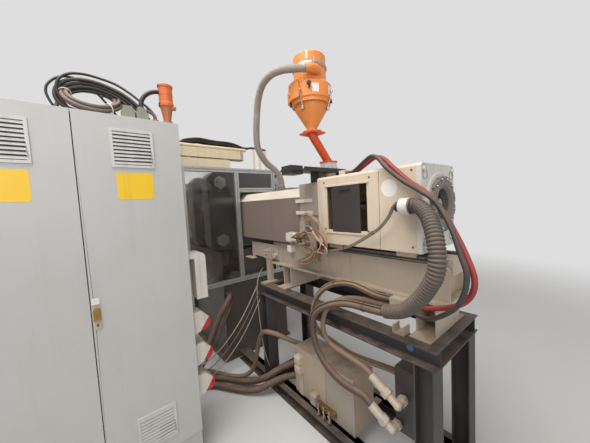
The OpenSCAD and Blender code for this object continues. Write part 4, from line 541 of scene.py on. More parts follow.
def srgb(red, green, blue):
    """Colour given in 0 to 255 display values, as the linear colour that shaders use."""
    def linear(c):
        c /= 255
        return c / 12.92 if c <= 0.04045 else ((c + 0.055) / 1.055) ** 2.4
    return (linear(red), linear(green), linear(blue), 1)


def new_group(name, inputs, outputs):
    """Empty shader group with named sockets, its bench and its input node."""
    tree = bpy.data.node_groups.new(name, "ShaderNodeTree")
    for socket, kind, value in inputs:
        made = tree.interface.new_socket(socket, in_out="INPUT", socket_type=kind)
        made.default_value = value
    for socket, kind in outputs:
        tree.interface.new_socket(socket, in_out="OUTPUT", socket_type=kind)
    bench = Bench(tree)
    return tree, bench, bench.put("NodeGroupInput").outputs


def surroundings(bench):
    """Place on the object, the surface's own normal, and how far the surface faces up."""
    place = bench.put("ShaderNodeTexCoord").outputs["Object"]
    normal = bench.put("ShaderNodeNewGeometry").outputs["Normal"]
    return place, normal, bench.put("ShaderNodeSeparateXYZ", {0: normal}).outputs[2]


FINISH_OUT = [("Color", "NodeSocketColor"), ("Roughness", "NodeSocketFloat"),
              ("Height", "NodeSocketFloat")]
DUST = srgb(150, 120, 88)
GRIME = srgb(62, 52, 43)

# %% [markdown]
# ### Worn paint
# Level faces are found from the surface's own normal, and edges by comparing the normal with
# one that the Bevel node rounds off. Noise breaks both masks up, so that dust lies in patches
# and edges are rubbed only here and there. Rain-like streaks on upright faces come from noise
# that is stretched along Z.

# %% Group: worn paint
worn_paint, lay, given = new_group("worn_paint", [
    ("Paint", "NodeSocketColor", (0.5, 0.5, 0.5, 1)),
    ("Dust", "NodeSocketColor", DUST),
    ("Dust Amount", "NodeSocketFloat", 0.4),
    ("Grime", "NodeSocketFloat", 0.3),
    ("Wear", "NodeSocketFloat", 0.3),
    ("Base Roughness", "NodeSocketFloat", 0.45),
], FINISH_OUT)
place, surface, facing = surroundings(lay)
cloudy = lay.noise(place, 2.6, 5.0, 0.6)
patchy = lay.noise(place, 13.0, 4.0, 0.62)
speckled = lay.noise(place, 95.0, 3.0, 0.7)
orange_peel = lay.noise(place, 480.0, 1.0, 0.5)
streaked = lay.noise(lay.stretched(place, (26, 26, 1.6)), 1.0, 4.0, 0.6)
level = lay.fade(facing, 0.55, 0.95)
upright = lay.math("SUBTRACT", 1.0, lay.math("ABSOLUTE", facing), clamp=True)
rounded = lay.put("ShaderNodeBevel", {"Radius": 0.0045}, samples=4).outputs[0]
sameness = lay.put("ShaderNodeVectorMath", {0: rounded, 1: surface},
                   operation="DOT_PRODUCT").outputs["Value"]
edge = lay.fade(sameness, 0.985, 0.90)
dust_here = lay.math("MULTIPLY", lay.math("MULTIPLY", level, lay.fade(patchy, 0.25, 0.62)),
                     given["Dust Amount"], clamp=True)
dust_here = lay.math("ADD", dust_here, lay.math(
    "MULTIPLY", lay.fade(cloudy, 0.45, 0.8), lay.math("MULTIPLY", given["Dust Amount"], 0.22)),
    clamp=True)
grime_here = lay.math("MULTIPLY", lay.math("MULTIPLY", lay.fade(streaked, 0.5, 0.78), upright),
                      given["Grime"], clamp=True)
grime_here = lay.math("MAXIMUM", grime_here, lay.math(
    "MULTIPLY", lay.fade(patchy, 0.60, 0.80), lay.math("MULTIPLY", given["Grime"], 0.55)))
wear_here = lay.math("MULTIPLY", lay.math("MULTIPLY", edge, lay.fade(patchy, 0.46, 0.60)),
                     given["Wear"], clamp=True)
shade = lay.blend(lay.fade(cloudy, 0.3, 0.75, 0.0, 0.10), given["Paint"],
                  lay.blend(1.0, given["Paint"], (0.55, 0.55, 0.55, 1), "MULTIPLY"))
shade = lay.blend(lay.fade(speckled, 0.66, 0.74, 0.0, 0.25), shade, GRIME)
shade = lay.blend(grime_here, shade, GRIME)
shade = lay.blend(dust_here, shade, given["Dust"])
shade = lay.blend(wear_here, shade, srgb(120, 116, 110))
gloss = lay.math("ADD", given["Base Roughness"], lay.math("MULTIPLY", dust_here, 0.4))
gloss = lay.math("ADD", gloss, lay.math("MULTIPLY", lay.math("SUBTRACT", cloudy, 0.5), 0.16),
                 clamp=True)
lift = lay.math("MULTIPLY", orange_peel, 0.35)
lift = lay.math("ADD", lift, lay.math("MULTIPLY", dust_here, lay.math("MULTIPLY", speckled, 0.8)))
lift = lay.math("SUBTRACT", lift, lay.math("MULTIPLY", wear_here, 0.7))
lay.put("NodeGroupOutput", {"Color": shade, "Roughness": gloss, "Height": lift})
print("group:", worn_paint.name)

# %% [markdown]
# ### Bare metal and rubber
# Bare metal shows fine brushing and brown stains. Rubber and plastic hose is matt, paler
# along its top where dust lies, and smudged. Both follow the same plan as the paint, with
# fewer layers.

# %% Groups: bare metal, hose skin
bare_metal, lay, given = new_group("bare_metal", [
    ("Metal", "NodeSocketColor", (0.5, 0.5, 0.5, 1)),
    ("Stain", "NodeSocketColor", GRIME),
    ("Stain Amount", "NodeSocketFloat", 0.4),
    ("Base Roughness", "NodeSocketFloat", 0.35),
], FINISH_OUT)
place, _, facing = surroundings(lay)
brushed = lay.noise(lay.stretched(place, (14, 260, 260)), 1.0, 3.0, 0.6)
blotchy = lay.noise(place, 9.0, 5.0, 0.65)
pitted = lay.noise(place, 210.0, 2.0, 0.7)
stain_here = lay.math("MULTIPLY", lay.fade(blotchy, 0.42, 0.72), given["Stain Amount"],
                      clamp=True)
stain_here = lay.math("MAXIMUM", stain_here, lay.math(
    "MULTIPLY", lay.fade(facing, 0.6, 0.98), lay.math("MULTIPLY", given["Stain Amount"], 0.9)))
shade = lay.blend(lay.fade(brushed, 0.35, 0.7, 0.0, 0.22), given["Metal"],
                  lay.blend(1.0, given["Metal"], (0.5, 0.5, 0.5, 1), "MULTIPLY"))
shade = lay.blend(stain_here, shade, given["Stain"])
gloss = lay.math("ADD", given["Base Roughness"], lay.math("MULTIPLY", stain_here, 0.35))
gloss = lay.math("ADD", gloss, lay.math("MULTIPLY", brushed, 0.12), clamp=True)
lift = lay.math("ADD", lay.math("MULTIPLY", brushed, 0.4), lay.math("MULTIPLY", pitted, 0.25))
lay.put("NodeGroupOutput", {"Color": shade, "Roughness": gloss, "Height": lift})

hose_skin, lay, given = new_group("hose_skin", [
    ("Skin", "NodeSocketColor", (0.1, 0.1, 0.1, 1)),
    ("Dust", "NodeSocketColor", DUST),
    ("Dust Amount", "NodeSocketFloat", 0.5),
    ("Base Roughness", "NodeSocketFloat", 0.6),
], FINISH_OUT)
place, _, facing = surroundings(lay)
smudged = lay.noise(place, 11.0, 4.0, 0.6)
grainy = lay.noise(place, 320.0, 2.0, 0.6)
dust_here = lay.math("MULTIPLY", lay.fade(facing, -0.2, 0.9),
                     lay.math("MULTIPLY", lay.fade(smudged, 0.3, 0.7, 0.25, 1.0),
                              given["Dust Amount"]), clamp=True)
shade = lay.blend(lay.fade(smudged, 0.35, 0.7, 0.0, 0.35), given["Skin"],
                  lay.blend(1.0, given["Skin"], (0.6, 0.55, 0.5, 1), "MULTIPLY"))
shade = lay.blend(dust_here, shade, given["Dust"])
gloss = lay.math("ADD", given["Base Roughness"], lay.math("MULTIPLY", dust_here, 0.3),
                 clamp=True)
lift = lay.math("ADD", lay.math("MULTIPLY", grainy, 0.5), lay.math("MULTIPLY", smudged, 0.3))
lay.put("NodeGroupOutput", {"Color": shade, "Roughness": gloss, "Height": lift})
print("groups:", bare_metal.name, hose_skin.name)

# %% [markdown]
# ## The finishes of this machine
# Each material places one of the groups with its own values, and keeps the Principled shader
# in the material itself. Constants such as the metallic value stay on the shader's sockets.

# %% Materials
def finish(name, group, values, bump=0.25, depth=0.0006, **constants):
    """Material made from one shader group; constants go straight onto the shader."""
    material = bpy.data.materials.new(name)
    material.use_nodes = True
    tree = material.node_tree
    shader = tree.nodes["Principled BSDF"]
    bench = Bench(tree)
    used = bench.put("ShaderNodeGroup", node_tree=group)
    for key, value in values.items():
        used.inputs[key].default_value = value
    raised = bench.put("ShaderNodeBump", {"Height": used.outputs["Height"], "Strength": bump,
                                          "Distance": depth}).outputs[0]
    tree.links.new(used.outputs["Color"], shader.inputs["Base Color"])
    tree.links.new(used.outputs["Roughness"], shader.inputs["Roughness"])
    tree.links.new(raised, shader.inputs["Normal"])
    for key, value in constants.items():
        shader.inputs[key.replace("_", " ")].default_value = value
    return material


def paint(name, colour, dust=0.4, grime=0.3, wear=0.3, roughness=0.45, dust_colour=DUST,
          **more):
    return finish(name, worn_paint, {
        "Paint": srgb(*colour), "Dust Amount": dust, "Grime": grime, "Wear": wear,
        "Base Roughness": roughness, "Dust": dust_colour}, **more)


def metal(name, colour, stain=0.4, roughness=0.35, **more):
    return finish(name, bare_metal, {
        "Metal": srgb(*colour), "Stain Amount": stain, "Base Roughness": roughness},
        Metallic=1.0, **more)


def skin(name, colour, dust=0.5, roughness=0.6, **more):
    return finish(name, hose_skin, {
        "Skin": srgb(*colour), "Dust Amount": dust, "Base Roughness": roughness}, **more)


RUST_DUST = srgb(128, 106, 88)
cabinet_paint = paint("cabinet_paint", (184, 182, 179), dust=0.12, grime=0.05, wear=0.12,
                      roughness=0.42)
grille_grey = paint("grille_grey", (196, 194, 190), dust=0.3, grime=0.25, wear=0.1)
housing_cream = paint("housing_cream", (204, 187, 165), dust=0.45, grime=0.16, wear=0.3)
plate_grey = paint("plate_grey", (200, 197, 190), dust=0.4, grime=0.3, wear=0.3)
cover_taupe = paint("cover_taupe", (122, 107, 98), dust=0.4, grime=0.2, wear=0.3)
cover_cream = paint("cover_cream", (214, 204, 188), dust=0.5, grime=0.2, wear=0.3)
bed_beige = paint("bed_beige", (172, 158, 141), dust=0.45, grime=0.2, wear=0.3)
# Painted shade: this beige is darkened to a grimy brown-grey, well below the machine's own paint, to stand
# for the shade that the clamp's base lies in.
machine_beige = paint("machine_beige", (134, 122, 106), dust=0.5, grime=0.4, wear=0.3)
duct_beige = paint("duct_beige", (205, 191, 160), dust=0.5, grime=0.3, wear=0.3)
platen_dark = paint("platen_dark", (74, 75, 76), dust=0.3, grime=0.4, wear=0.4)
mould_red = paint("mould_red", (150, 48, 44), dust=0.2, grime=0.4, wear=0.5)
frame_grey = paint("frame_grey", (52, 49, 49), dust=0.5, grime=0.5, wear=0.3,
                   dust_colour=RUST_DUST, roughness=0.5)
junction_beige = paint("junction_beige", (172, 154, 134), dust=0.6, grime=0.2, wear=0.3,
                       dust_colour=RUST_DUST)
loader_orange = paint("loader_orange", (226, 138, 66), dust=0.35, grime=0.2, wear=0.3,
                      roughness=0.38, dust_colour=srgb(206, 156, 108))
chute_orange = paint("chute_orange", (216, 84, 34), dust=0.2, grime=0.25, wear=0.3)
slide_black = paint("slide_black", (40, 39, 38), dust=0.35, grime=0.3, wear=0.4)
shutter_dark = paint("shutter_dark", (58, 54, 52), dust=0.25, grime=0.3, wear=0.2,
                     roughness=0.3)
flange_dark = paint("flange_dark", (104, 98, 90), dust=0.35, grime=0.5, wear=0.6)
white_plastic = paint("white_plastic", (206, 200, 190), dust=0.35, grime=0.3, wear=0.0,
                      roughness=0.5)
lid_red = paint("lid_red", (200, 40, 52), dust=0.15, grime=0.15, wear=0.1, roughness=0.35)
valve_orange = paint("valve_orange", (206, 104, 52), dust=0.3, grime=0.4, wear=0.4)
black_plastic = paint("black_plastic", (34, 33, 33), dust=0.4, grime=0.2, wear=0.0,
                      roughness=0.5)
feed_grey = paint("feed_grey", (160, 146, 130), dust=0.4, grime=0.4, wear=0.3)
pipe_white = paint("pipe_white", (178, 165, 150), dust=0.5, grime=0.4, wear=0.0,
                   roughness=0.36)
# Painted shade: the clamp bed is painted dark brown-grey to stand for the shaded open space under the
# guard, not for the bed's own paint.
bed_painted_shade = paint("bed_painted_shade", (76, 68, 60), dust=0.5, grime=0.6, wear=0.3)
block_dark = paint("block_dark", (66, 60, 58), dust=0.5, grime=0.5, wear=0.4)
bronze_paint = paint("bronze_paint", (176, 108, 66), dust=0.4, grime=0.5, wear=0.4)
plinth_grey = paint("plinth_grey", (112, 104, 100), dust=0.3, grime=0.5, wear=0.3)
hood_green = paint("hood_green", (138, 138, 122), dust=0.3, grime=0.4, wear=0.2)
hood_beige = paint("hood_beige", (186, 170, 152), dust=0.4, grime=0.2, wear=0.2)
junction_grey = paint("junction_grey", (154, 144, 132), dust=0.5, grime=0.2, wear=0.3)
blank_white = paint("blank_white", (226, 220, 212), dust=0.1, grime=0.1, wear=0.0)
blank_blue = paint("blank_blue", (70, 110, 160), dust=0.2, grime=0.2, wear=0.0)
label_yellow = paint("label_yellow", (236, 190, 30), dust=0.1, grime=0.12, wear=0.0,
                     roughness=0.4)
bright_steel = metal("bright_steel", (178, 178, 176), stain=0.25, roughness=0.28)
dull_steel = metal("dull_steel", (122, 118, 112), stain=0.5, roughness=0.42)
guard_profile = metal("guard_profile", (188, 188, 184), stain=0.22, roughness=0.42)
brass = metal("brass", (176, 140, 76), stain=0.35, roughness=0.33)
conduit_skin = skin("conduit_skin", (84, 77, 71), dust=0.35)
brown_skin = skin("brown_skin", (84, 68, 60), dust=0.55)
tan_skin = skin("tan_skin", (124, 102, 84), dust=0.4)
red_skin = skin("red_skin", (146, 52, 50), dust=0.3)
black_skin = skin("black_skin", (58, 53, 50), dust=0.45)
grey_skin = skin("grey_skin", (160, 152, 142), dust=0.35)
cable_skin = skin("cable_skin", (46, 42, 40), dust=0.3, roughness=0.5)
taupe_skin = skin("taupe_skin", (104, 93, 86), dust=0.4)
sand_skin = skin("sand_skin", (176, 148, 108), dust=0.3)
teal_skin = skin("teal_skin", (96, 104, 98), dust=0.4)
olive_skin = skin("olive_skin", (112, 106, 88), dust=0.4)
orange_skin = skin("orange_skin", (216, 140, 52), dust=0.15)
braid_skin = skin("braid_skin", (196, 190, 182), dust=0.25)

clear_pane = bpy.data.materials.new("clear_pane")
clear_pane.use_nodes = True
pane_shader = clear_pane.node_tree.nodes["Principled BSDF"]
pane_bench = Bench(clear_pane.node_tree)
pane_place = pane_bench.put("ShaderNodeTexCoord").outputs["Object"]
smears = pane_bench.noise(pane_place, 7.0, 4.0, 0.6)
clear_pane.node_tree.links.new(pane_bench.fade(smears, 0.35, 0.75, 0.04, 0.22),
                               pane_shader.inputs["Roughness"])
clear_pane.node_tree.links.new(
    pane_bench.blend(pane_bench.fade(smears, 0.4, 0.8, 0.0, 0.5), srgb(226, 224, 220),
                     srgb(190, 184, 174)), pane_shader.inputs["Base Color"])
pane_shader.inputs["Transmission Weight"].default_value = 1.0
pane_shader.inputs["IOR"].default_value = 1.45
print("materials:", len(bpy.data.materials))

# %% Hoses get their skins
HOSE_SKINS = {
    # one skin, or one for each strand of a bundle
    "main_conduit": [conduit_skin], "upper_hose": [tan_skin], "red_hose": [red_skin],
    "lower_hose": [brown_skin, tan_skin], "dark_hose": [black_skin],
    "loop_hoses": [tan_skin, sand_skin, teal_skin, red_skin],
    "signal_bundle": [olive_skin, orange_skin, sand_skin],
    "manifold_loop": [sand_skin, tan_skin, red_skin], "vacuum_hose": [grey_skin],
    "floor_hose_1": [tan_skin], "cable_coil": [taupe_skin], "braided_cable": [braid_skin],
    "rust_loop": [red_skin], "ochre_loop": [sand_skin], "roof_tail": [cable_skin],
    "outer_loop": [cable_skin], "drop_cable_1": [taupe_skin], "drop_cable_2": [black_skin],
    "post_cable": [grey_skin], "service_hose_1": [taupe_skin], "service_hose_2": [sand_skin],
    "loose_cable_1": [grey_skin], "loose_cable_2": [taupe_skin], "loose_cable_3": [grey_skin],
    "service_hose_3": [tan_skin], "service_hose_4": [red_skin], "service_hose_5": [olive_skin],
}
for name, hose in hoses.items():
    plain = cable_skin if name.startswith(("duct_cable", "roof_loop")) else brown_skin
    hose.data.materials.clear()
    for material in HOSE_SKINS.get(name, [plain]):
        hose.data.materials.append(material)

# %% [markdown]
# ## Soft edges on the sheet metal and castings
# A real edge is never perfectly sharp: paint and grinding round it by a millimetre or two,
# and that thin bright line is what makes a solid look real. The CAD meshes stay as they are.
# A copy is merged, its flat faces are joined again, and a Bevel modifier rounds every edge
# that turns by more than thirty degrees. The copy then stands for the CAD node.

# %% A merged copy with soft edges
SOFT_ANGLE = math.radians(32)
# Flat faces with pockets or windows in them: joined into one face, they would tear when bevelled.
KEPT_TRIANGLES = {"junction_box", "support_frame", "barrel_cover", "cabinet_door_left",
                  "cabinet_door_right", "cabinet_top_fittings", "drive_housing"}


def soft_edges(piece, width):
    """Shade a piece smooth and round the edges that turn by more than the soft angle."""
    piece.data.shade_smooth()
    piece.data.set_sharp_from_angle(angle=SOFT_ANGLE)
    if not width:
        return None
    bevel = piece.modifiers.new("soft edges", "BEVEL")
    bevel.width, bevel.segments = width, 2
    bevel.limit_method, bevel.angle_limit = "ANGLE", SOFT_ANGLE
    bevel.harden_normals = True
    return bevel


def softened(node, material, edge, areas):
    """Bevelled copy of a CAD node; areas are (material, test of face centre and normal)."""
    source = frame["nodes"][node]
    shell = bmesh.new()
    shell.from_mesh(source.data)
    bmesh.ops.remove_doubles(shell, verts=shell.verts, dist=1e-5)
    if node not in KEPT_TRIANGLES:
        bmesh.ops.dissolve_limit(shell, angle_limit=math.radians(0.6), verts=shell.verts,
                                 edges=shell.edges, delimit={"NORMAL"})
    for face in shell.faces:
        face.material_index = 0
        for k, (_, belongs) in enumerate(areas):
            if belongs(face.calc_center_median(), face.normal):
                face.material_index = k + 1
    mesh = bpy.data.meshes.new(node + "_soft")
    shell.to_mesh(mesh)
    shell.free()
    for left in ("custom_normal", "sharp_face"):
        if left in mesh.attributes:
            mesh.attributes.remove(mesh.attributes[left])
    mesh.materials.append(material)
    for extra, _ in areas:
        mesh.materials.append(extra)
    piece = placed(node + "_soft", mesh)
    soft_edges(piece, edge).use_clamp_overlap = False
    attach(piece, source["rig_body"])
    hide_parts(node)
    return piece


# %% Every rigid node gets its finish
DOOR_FACE = 0.9400
GRILLES = [(-1.724, 1.997), (-1.224, 1.997), (-1.224, 0.380)]


def in_grille(centre, inset):
    return any(abs(centre.y - y) < 0.102 - inset and abs(centre.z - z) < 0.102 - inset
               for y, z in GRILLES)


def on_pane(centre):
    return 0.94 < centre.z < 1.98


GRILLE_AREAS = [
    (grille_grey, lambda c, n: c.x > DOOR_FACE + 0.0002 and in_grille(c, -0.001)),
    (shutter_dark, lambda c, n: c.x < DOOR_FACE + 0.0025 and in_grille(c, 0.010))]
FINISHES = {
    # node: finish, width of the soft edge, areas with another finish, material slot
    # The clamp bed's dark paint is painted shade for the open space under the guard.
    "clamp_bed": (bed_painted_shade, 0.003, (), "machine_beige"),
    "fixed_platen": (platen_dark, 0.003, (), "platen_dark"),
    "moving_platen": (platen_dark, 0.003, (), "platen_dark"),
    # The end platen's darkened beige is painted shade.
    "end_platen": (machine_beige, 0.003, (), "machine_beige"),
    "tie_bars": (bright_steel, 0.001, (), "bright_steel"),
    "clamp_ram": (bright_steel, 0.001, (), "bright_steel"),
    "ejector": (dull_steel, 0.001, (), "bright_steel"),
    "mould_fixed_half": (mould_red, 0.002, (), "mould_red"),
    "mould_moving_half": (dull_steel, 0.002, (), "bright_steel"),
    "guard_frame": (guard_profile, 0.0008, (), "guard_profile"),
    "guard_door": (guard_profile, 0.0008,
                   [(clear_pane, lambda c, n: abs(c.y + 0.7978) < 0.004
                     and abs(n.y) > 0.9 and on_pane(c))], "guard_profile"),
    "guard_ducts": (duct_beige, 0.0015, (), "duct_beige"),
    "injection_bed": (bed_beige, 0.0015, (), "bed_beige"),
    "guide_rails": (dull_steel, 0.0008, (), "dark_metal"),
    "carriage_cylinder": (dull_steel, 0.001, (), "dark_metal"),
    "side_plate": (bed_beige, 0.001, (), "bed_beige"),
    "drive_housing": (housing_cream, 0.002, (), "housing_cream"),
    "end_plate": (plate_grey, 0.0015, (), "housing_cream"),
    "motor_flange": (flange_dark, 0.001, (), "dark_metal"),
    "drive_hub": (dull_steel, 0.001, (), "dark_metal"),
    "barrel": (dull_steel, 0.001, (), "dark_metal"),
    "window_shutter": (shutter_dark, 0.0005, (), "shutter_dark"),
    "barrel_cover": (cover_taupe, 0.0015,
                     [(cover_cream, lambda c, n: n.z > 0.3)], "cover_taupe"),
    "feed_block": (feed_grey, 0.0015,
                   [(cover_cream, lambda c, n: n.z > 0.3)], "cover_taupe"),
    "slide_plate": (slide_black, 0.001, (), "slide_black"),
    "hopper_foot": (chute_orange, 0.001,
                    [(slide_black, lambda c, n: c.z < 1.9175),
                     (white_plastic, lambda c, n: c.z < 1.9465)], "loader_red"),
    "loader_body": (loader_orange, 0.001, (), "loader_orange"),
    "loader_head": (loader_orange, 0.001, (), "loader_orange"),
    "service_manifold": (feed_grey, 0.001,
                         [(white_plastic, lambda c, n: c.z > 1.56 or (c.x < 1.1055
                                                                     and c.y < -0.2065)),
                          (bright_steel, lambda c, n: 1.115 < c.x < 1.229
                           and 1.335 < c.z < 1.421 and c.y < -0.2065)], "bed_beige"),
    "conduit_collar": (white_plastic, 0.0015,
                       [(black_plastic, lambda c, n: c.x < 1.9552)], "collar_white"),
    "support_frame": (frame_grey, 0.0015, (), "frame_grey"),
    "valve_block": (pipe_white, 0.001,
                    [(block_dark, lambda c, n: c.y > -0.1751 and c.x > 1.84)], "collar_white"),
    "cabinet_body": (cabinet_paint, 0.002,
                     [(plinth_grey, lambda c, n: c.z < 0.199)], "cabinet_grey"),
    "cabinet_door_left": (cabinet_paint, 0.0008, GRILLE_AREAS, "cabinet_grey"),
    "cabinet_door_right": (cabinet_paint, 0.0008, GRILLE_AREAS, "cabinet_grey"),
    "door_lock": (brass, 0.001, (), "brass_fittings"),
    "power_sockets": (white_plastic, 0.0015, (), "collar_white"),
    "socket_lid_1": (lid_red, 0.001, (), "lid_red"),
    "socket_lid_2": (lid_red, 0.001, (), "lid_red"),
    "socket_lid_3": (lid_red, 0.001, (), "lid_red"),
    "cabinet_top_fittings": (valve_orange, 0.001,
                             [(bronze_paint, lambda c, n: c.z < 2.272),
                              (hood_green, lambda c, n: c.y < -1.10 and c.z < 2.246),
                              (black_plastic, lambda c, n: c.y < -1.0605 and c.z > 2.246)],
                             "loader_orange"),
    "junction_box": (junction_beige, 0.0015, (), "bed_beige"),
    "junction_cover": (junction_beige, 0.0015,
                       [(hood_beige, lambda c, n: c.y < -0.2215),
                        (junction_grey, lambda c, n: c.x > 1.3315)], "bed_beige"),
    "water_couplings": (brass, 0.001,
                        [(junction_grey, lambda c, n: c.x < 1.2612),
                         (bright_steel, lambda c, n: n.y < -0.7)], "brass_fittings"),
}
for node, (material, width, areas, slot) in FINISHES.items():
    softened(node, material, width, areas)
for node, material in (("guard_panes", clear_pane), ("screw", bright_steel)):
    frame["nodes"][node].data.materials.clear()
    frame["nodes"][node].data.materials.append(material)

# %% [markdown]
# ## Small parts
# Screws, straps, plain plates and fittings are too small for the CAD model, but a machine looks
# bare without them. Each is put together from a few kinds of shell: blocks, tapered rods,
# rounded plates and profiles spun round an axis. They could also be drawn as bump, but real
# shapes catch the light on their edges and survive an export.

# %% A builder for small parts
class Shape:
    """One piece of several shells; tone is a material's place in the list."""

    def __init__(self, name, *materials):
        self.name, self.shell, self.materials = name, bmesh.new(), materials

    def mark(self, tone):
        for face in self.shell.faces:
            if not face.tag:
                face.material_index, face.tag = tone, True

    def block(self, low, high, tone=0, turn=None):
        low, high = Vector(low), Vector(high)
        place = Matrix.Translation((low + high) / 2) @ Matrix.Diagonal((*(high - low), 1))
        bmesh.ops.create_cube(self.shell, size=1, matrix=(turn or Matrix()) @ place)
        self.mark(tone)

    def rod(self, start, end, radius, tip=None, tone=0, sides=20):
        start, end = Vector(start), Vector(end)
        way = end - start
        place = (Matrix.Translation((start + end) / 2)
                 @ way.to_track_quat("Z", "Y").to_matrix().to_4x4())
        bmesh.ops.create_cone(self.shell, cap_ends=True, segments=sides, radius1=radius,
                              radius2=radius if tip is None else tip, depth=way.length,
                              matrix=place)
        self.mark(tone)

    def spun(self, centre, axis, profile, tone=0, sides=36):
        """Closed shape from (along, radius) points turned once round an axis."""
        axis = Vector(axis).normalized()
        turn = axis.to_track_quat("Z", "Y").to_matrix()
        centre = Vector(centre)
        line = [self.shell.verts.new(centre + turn @ Vector((radius, 0, along)))
                for along, radius in profile]
        edges = [self.shell.edges.new(pair) for pair in zip(line, line[1:])]
        bmesh.ops.spin(self.shell, geom=line + edges, cent=centre, axis=axis,
                       angle=2 * math.pi, steps=sides, use_merge=True)
        bmesh.ops.remove_doubles(self.shell, verts=self.shell.verts, dist=2e-6)
        self.mark(tone)

    def ring(self, centre, axis, radius, thick, tone=0, sides=36):
        """Band round an axis: its middle radius and its thickness."""
        t = thick / 2
        corners = [(-t, radius - t), (-t, radius + t), (t, radius + t), (t, radius - t),
                   (-t, radius - t)]
        self.spun(centre, axis, corners, tone, sides)

    def plate(self, centre, across, upward, width, height, corner, thick, tone=0):
        """Flat plate with round corners, lying on a surface with its back at centre."""
        across, upward = Vector(across).normalized(), Vector(upward).normalized()
        outline = []
        for k, (sx, sy) in enumerate(((1, 1), (-1, 1), (-1, -1), (1, -1))):
            for step in range(6):
                angle = math.pi / 2 * (k + step / 5)
                outline.append(Vector(centre)
                               + across * (sx * (width / 2 - corner) + corner * math.cos(angle))
                               + upward * (sy * (height / 2 - corner) + corner * math.sin(angle)))
        face = self.shell.faces.new([self.shell.verts.new(point) for point in outline])
        grown = bmesh.ops.extrude_face_region(self.shell, geom=[face])
        bmesh.ops.translate(self.shell, vec=across.cross(upward) * thick,
                            verts=[v for v in grown["geom"] if isinstance(v, bmesh.types.BMVert)])
        self.mark(tone)

    def screw(self, place, axis, radius, tone=0):
        """Round screw head with a low hexagon on its top, in the same tone."""
        place, axis = Vector(place), Vector(axis).normalized()
        self.rod(place, place + axis * radius * 0.7, radius, radius * 0.86, tone, 18)
        self.rod(place + axis * radius * 0.55, place + axis * radius * 0.72, radius * 0.5,
                 tone=tone, sides=6)

    def done(self, body, edge):
        bmesh.ops.recalc_face_normals(self.shell, faces=self.shell.faces)
        mesh = bpy.data.meshes.new(self.name)
        self.shell.to_mesh(mesh)
        self.shell.free()
        for material in self.materials:
            mesh.materials.append(material)
        piece = placed(self.name, mesh)
        soft_edges(piece, edge)
        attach(piece, body)
        return piece


# %% [markdown]
# ### Loader
# The head is held by a band clamp, three rod latches hold it down on the hopper, and a black
# knob sits on its front. Two small plates are plain white.

# %% Loader fittings
LOADER = Vector((1.250, -0.155, 0))


def round_loader(angle, radius, z):
    turn = math.radians(angle)
    return LOADER + Vector((math.cos(turn) * radius, math.sin(turn) * radius, z))


def outward(angle):
    return Vector((math.cos(math.radians(angle)), math.sin(math.radians(angle)), 0))


def curved_plate(shape, start, end, radius, low, high, thick, tone):
    """Thin plate that lies round the loader between two angles."""
    count = max(3, round((end - start) / 3))
    inner = [[shape.shell.verts.new(round_loader(start + (end - start) * k / count,
                                                 radius + away, z))
              for k in range(count + 1)] for z, away in ((low, 0), (low, thick), (high, thick),
                                                         (high, 0))]
    for a, b in zip(inner, inner[1:] + inner[:1]):
        for k in range(count):
            shape.shell.faces.new((a[k], a[k + 1], b[k + 1], b[k]))
    for k in (0, count):
        shape.shell.faces.new([row[k] for row in inner])
    shape.mark(tone)


fittings = Shape("loader_fittings", bright_steel, blank_white, black_plastic, loader_orange)
curved_plate(fittings, 226, 287, 0.1452, 2.356, 2.466, 0.011, 3)
curved_plate(fittings, 321, 339, 0.1452, 2.376, 2.431, 0.0012, 1)
curved_plate(fittings, 372, 392, 0.1452, 2.376, 2.433, 0.0012, 1)
knob = round_loader(314, 0.145, 2.424)
fittings.rod(knob, knob + outward(314) * 0.022, 0.005, tone=0)
fittings.spun(knob + outward(314) * 0.018, outward(314),
              [(0, 0), (0, 0.010), (0.003, 0.0145), (0.012, 0.0145), (0.016, 0.011),
               (0.017, 0)], 2, 24)
fittings.block((-0.004, -0.004, -0.030), (0.004, 0.004, -0.006), 2,
               Matrix.Translation(knob + outward(314) * 0.016))
fittings.spun(LOADER + Vector((0, 0, 2.569)), (0, 0, 1),
              [(0, 0.1185), (0.004, 0.1205), (0.014, 0.1205), (0.018, 0.1185)], 0, 64)
band_end = round_loader(331, 0.122, 2.578)
fittings.block((-0.004, -0.016, -0.008), (0.012, 0.016, 0.008), 0,
               Matrix.Translation(band_end) @ Matrix.Rotation(math.radians(331), 4, "Z"))
fittings.rod(band_end + Vector((0.010, -0.010, -0.022)), band_end + Vector((0.010, -0.010, 0.022)),
             0.003, tone=0, sides=10)
for angle in (309, 66):
    curved_plate(fittings, angle - 3.5, angle + 3.5, 0.1135, 2.600, 2.655, 0.0016, 0)
for angle in (290, 20, 155):
    top, foot = round_loader(angle, 0.158, 2.392), round_loader(angle, 0.128, 2.292)
    fittings.rod(top, foot, 0.0042, tone=0, sides=12)
    fittings.rod(top, top + Vector((0, 0, 0.012)), 0.008, tone=0, sides=12)
    fittings.spun(foot + Vector((0, 0, -0.012)), (0, 0, 1),
                  [(0, 0), (0, 0.010), (0.018, 0.010), (0.024, 0.006), (0.024, 0)], 0, 20)
    fittings.rod(round_loader(angle, 0.110, 2.290), round_loader(angle, 0.138, 2.290), 0.006,
                 tone=0, sides=12)
for angle in (236, 30, 120):
    middle = round_loader(angle, 0.136, 2.343)
    fittings.block((-0.010, -0.014, -0.010), (0.014, 0.014, 0.010), 2,
                   Matrix.Translation(middle) @ Matrix.Rotation(math.radians(angle), 4, "Z"))
mouth = Vector(hose_mouth) / 1000
fittings.ring(mouth + hose_out * 0.012, hose_out, 0.0285, 0.005, 0, 32)
